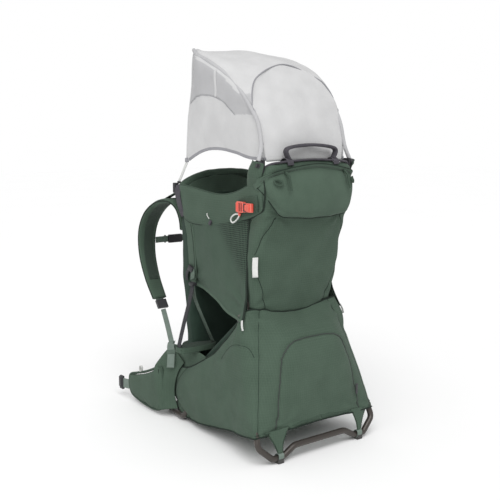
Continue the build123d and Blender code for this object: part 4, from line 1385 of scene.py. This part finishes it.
def interior():
    outline = [(-98, -180), (-60, -188), (60, -188), (98, -180), (96, -100), (60, -24), (0, -16), (-60, -24),
               (-96, -100)]
    seat = Piece("seat_cushion", "lining_fabric").add(prism(outline, 375, 389, 2), MATS["lining"]).build()
    cushion(seat, 0.006, 0.008)
    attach(seat, "seat")
    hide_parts("seat_pad")
    back_outline = [(-80, 404), (-84, 500), (-80, 592), (0, 597), (80, 592), (84, 500), (80, 404), (0, 399)]
    back = Piece("seat_back_cushion", "lining_fabric").add(prism(back_outline, -213, -198, 1),
                                                           MATS["lining"]).build()
    cushion(back, 0.006, 0.007)
    press(back, [[(-80, -194, z), (0, -192, z), (80, -194, z)] for z in (446, 496, 546)], 3.5, 6)
    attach(back, "seat")
    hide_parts("seat_back_pad")
    straps = Piece("child_harness", "dark_webbing")
    for s in (1, -1):
        straps.add(strap(flip([(-34, -205, 598), (-36, -190, 586), (-40, -180, 540), (-42, -178, 470),
                               (-30, -160, 420), (-12, -130, 402)], s), (1, 0, 0), 26, 5, 60, 3),
                   MATS["lining"])
        straps.add(block(flip([(-41, -175, 500)], s)[0], (30, 6, 14), 2), MATS["black"])
    straps.add(strap([(0, -60, 398), (0, -96, 406), (0, -130, 408)], (1, 0, 0), 26, 2.4, 20),
               MATS["dark_web"])
    straps.add(block((0, -134, 410), (34, 22, 11), 4), MATS["black"])
    obj = straps.build()
    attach(obj, "seat")
    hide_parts("seat_harness")
    drool = [(-86, 588), (-92, 620), (-76, 640), (-40, 646), (0, 648), (40, 646), (76, 640), (92, 620),
             (86, 588),
             (0, 584)]
    pad = Piece("drool_cushion", "lining_fabric").add(prism(drool, 34, 42, 1), MATS["lining"]).build()
    cushion(pad, 0.0055, 0.007)
    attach(pad, "carrier")
    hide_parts("drool_pad")
    # inner cloth wall between the child and the frame, closing the cockpit's front
    wall = Patch([whole([(-138, 76, 600), (-137, 48, 600), (-116, 42, 600), (-60, 44, 600), (0, 44, 600)]),
                  whole([(-140, 72, 500), (-140, 44, 500), (-120, 36, 500), (-60, 38, 500), (0, 38, 500)]),
                  whole([(-141, 68, 410), (-141, 40, 410), (-122, 30, 410), (-60, 34, 410), (0, 34, 410)]),
                  whole([(-145, 46, 300), (-145, 20, 300), (-124, 10, 300), (-60, 20, 300), (0, 22, 300)]),
                  whole([(-146, 42, 160), (-146, 14, 160), (-124, 8, 160), (-60, 16, 160), (0, 18, 160)])],
                 90, 90, inside=(0, 300, 400))
    wall.wrinkle(90, 2.0, 91)
    piece = Piece("cockpit_wall", "lining_fabric")
    piece.add(shell(wall, 2.0), MATS["lining"])
    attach(piece.build(), "carrier")

    band = Patch([whole([(-140, 58, 640), (-130, 66, 652), (-108, 74, 668), (-60, 78, 682), (0, 80, 688)]),
                  whole([(-138, 50, 624), (-128, 52, 626), (-100, 56, 630), (-56, 58, 636), (0, 60, 640)]),
                  whole([(-136, 46, 596), (-124, 42, 590), (-96, 40, 586), (-52, 40, 584), (0, 40, 584)])],
                 40, 110, inside=(0, 300, 640))
    band.wrinkle(60, 1.6, 92)
    piece = Piece("cockpit_band", "pack_fabric")
    piece.add(shell(band, 3.0), MATS["pack"])
    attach(piece.build(), "carrier")


def red_buckles():
    """Ribs and a webbing tail that finish each side-release clip."""
    for name, side in SIDES:
        detail = Piece(f"clip_ribs_{name}", "red_plastic")
        for k in range(3):
            detail.add(block((-161, -252 - 4.5 * k, 624), (3, 2.0, 15), 0.7), MATS["red"])
        # black bars along the prong slots: painted shade in the gaps
        for z in (615.5, 632.5):
            detail.add(block((-160.4, -245, z), (2.2, 10, 2.2), 0.6), MATS["black"])
        detail.add(block((-160.6, -241.5, 624), (1.8, 2.2, 16), 0.5), MATS["black"])
        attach(detail.build(side), f"clip_{name}")
        tail = Piece(f"clip_tail_{name}", "light_webbing")
        tail.add(strap([(-150, -200, 621), (-158, -207, 622), (-162, -214, 624), (-160, -222, 625)],
                       (0, 0, 1), 22, 2,
                       14), MATS["red"])
        # black bars in the ladder slots: painted shade in the gaps
        for y in (-216, -224, -232):
            tail.add(block((-161, y, 624), (2.0, 1.6, 21), 0.5), MATS["black"])
        for z in (612, 636.5):
            tail.add(block((-160, -224, z), (3, 22, 3), 1.0), MATS["red"])
        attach(tail.build(side), "carrier")


dress_cad()
bag_patch = lower_bag()
bag_floor(bag_patch)
gussets()
leg_tabs()
upper_bag()
top_pocket()
collar()
front_roll()
side_panels()
sunshade()
handle()
harness()
back_and_lumbar()
hip_fins()
stirrups()
hangers()
interior()
red_buckles()


# --------------------------------------------------- floor, lights and camera

def studio():
    floor = Nodes("studio_floor", (0.93, 0.93, 0.93), 0.8)
    floor.colour(floor.mix(floor.ramp(floor.noise(0.6), 0.2, 0.8), (0.925, 0.925, 0.925),
                           (0.94, 0.94, 0.94)))
    bpy.ops.mesh.primitive_plane_add(size=30, location=(0, 0, -0.001))
    plane = bpy.context.object
    plane.name = "floor"
    plane.data.materials.append(floor.mat)

    # the camera sees white beyond the floor, while the room's light itself is dimmer
    world = bpy.data.worlds.new("studio")
    world.use_nodes = True
    tree = world.node_tree
    room = tree.nodes["Background"]
    room.inputs[0].default_value, room.inputs[1].default_value = (1, 1, 1, 1), ROOM_LIGHT
    white = tree.nodes.new("ShaderNodeBackground")
    white.inputs[0].default_value, white.inputs[1].default_value = (1, 1, 1, 1), 1.0
    seen, mixed = tree.nodes.new("ShaderNodeLightPath"), tree.nodes.new("ShaderNodeMixShader")
    tree.links.new(seen.outputs["Is Camera Ray"], mixed.inputs[0])
    tree.links.new(room.outputs[0], mixed.inputs[1])
    tree.links.new(white.outputs[0], mixed.inputs[2])
    tree.links.new(mixed.outputs[0], tree.nodes["World Output"].inputs[0])
    bpy.context.scene.world = world

    sky = bpy.data.lights.new("soft_key", "SUN")
    sky.energy, sky.angle = 1.9, math.radians(50)
    key = bpy.data.objects.new("soft_key", sky)
    key.rotation_euler = Vector((0.31, 0.52, -0.80)).to_track_quat("-Z", "Y").to_euler()
    bpy.context.collection.objects.link(key)
    panel = bpy.data.lights.new("side_panel", "AREA")
    panel.size, panel.energy = 1.6, 11
    lamp = bpy.data.objects.new("side_panel", panel)
    lamp.location = (-2.6, -0.6, 1.5)
    lamp.rotation_euler = (Vector((0, 0, 0.5)) - lamp.location).to_track_quat("-Z", "Y").to_euler()
    bpy.context.collection.objects.link(lamp)


def camera():
    eye = Vector((-1.3314, -1.8219, 0.8))
    pitch = math.radians(8.13)
    aim = Vector((0.602 * math.cos(pitch), 0.799 * math.cos(pitch), -math.sin(pitch)))
    data = bpy.data.cameras.new("camera")
    data.sensor_width, data.lens = 36, 57.96
    cam = bpy.data.objects.new("camera", data)
    cam.location = eye
    cam.rotation_euler = aim.to_track_quat("-Z", "Y").to_euler()
    bpy.context.collection.objects.link(cam)
    bpy.context.scene.camera = cam


studio()
camera()
bpy.context.scene.view_settings.view_transform = "Standard"
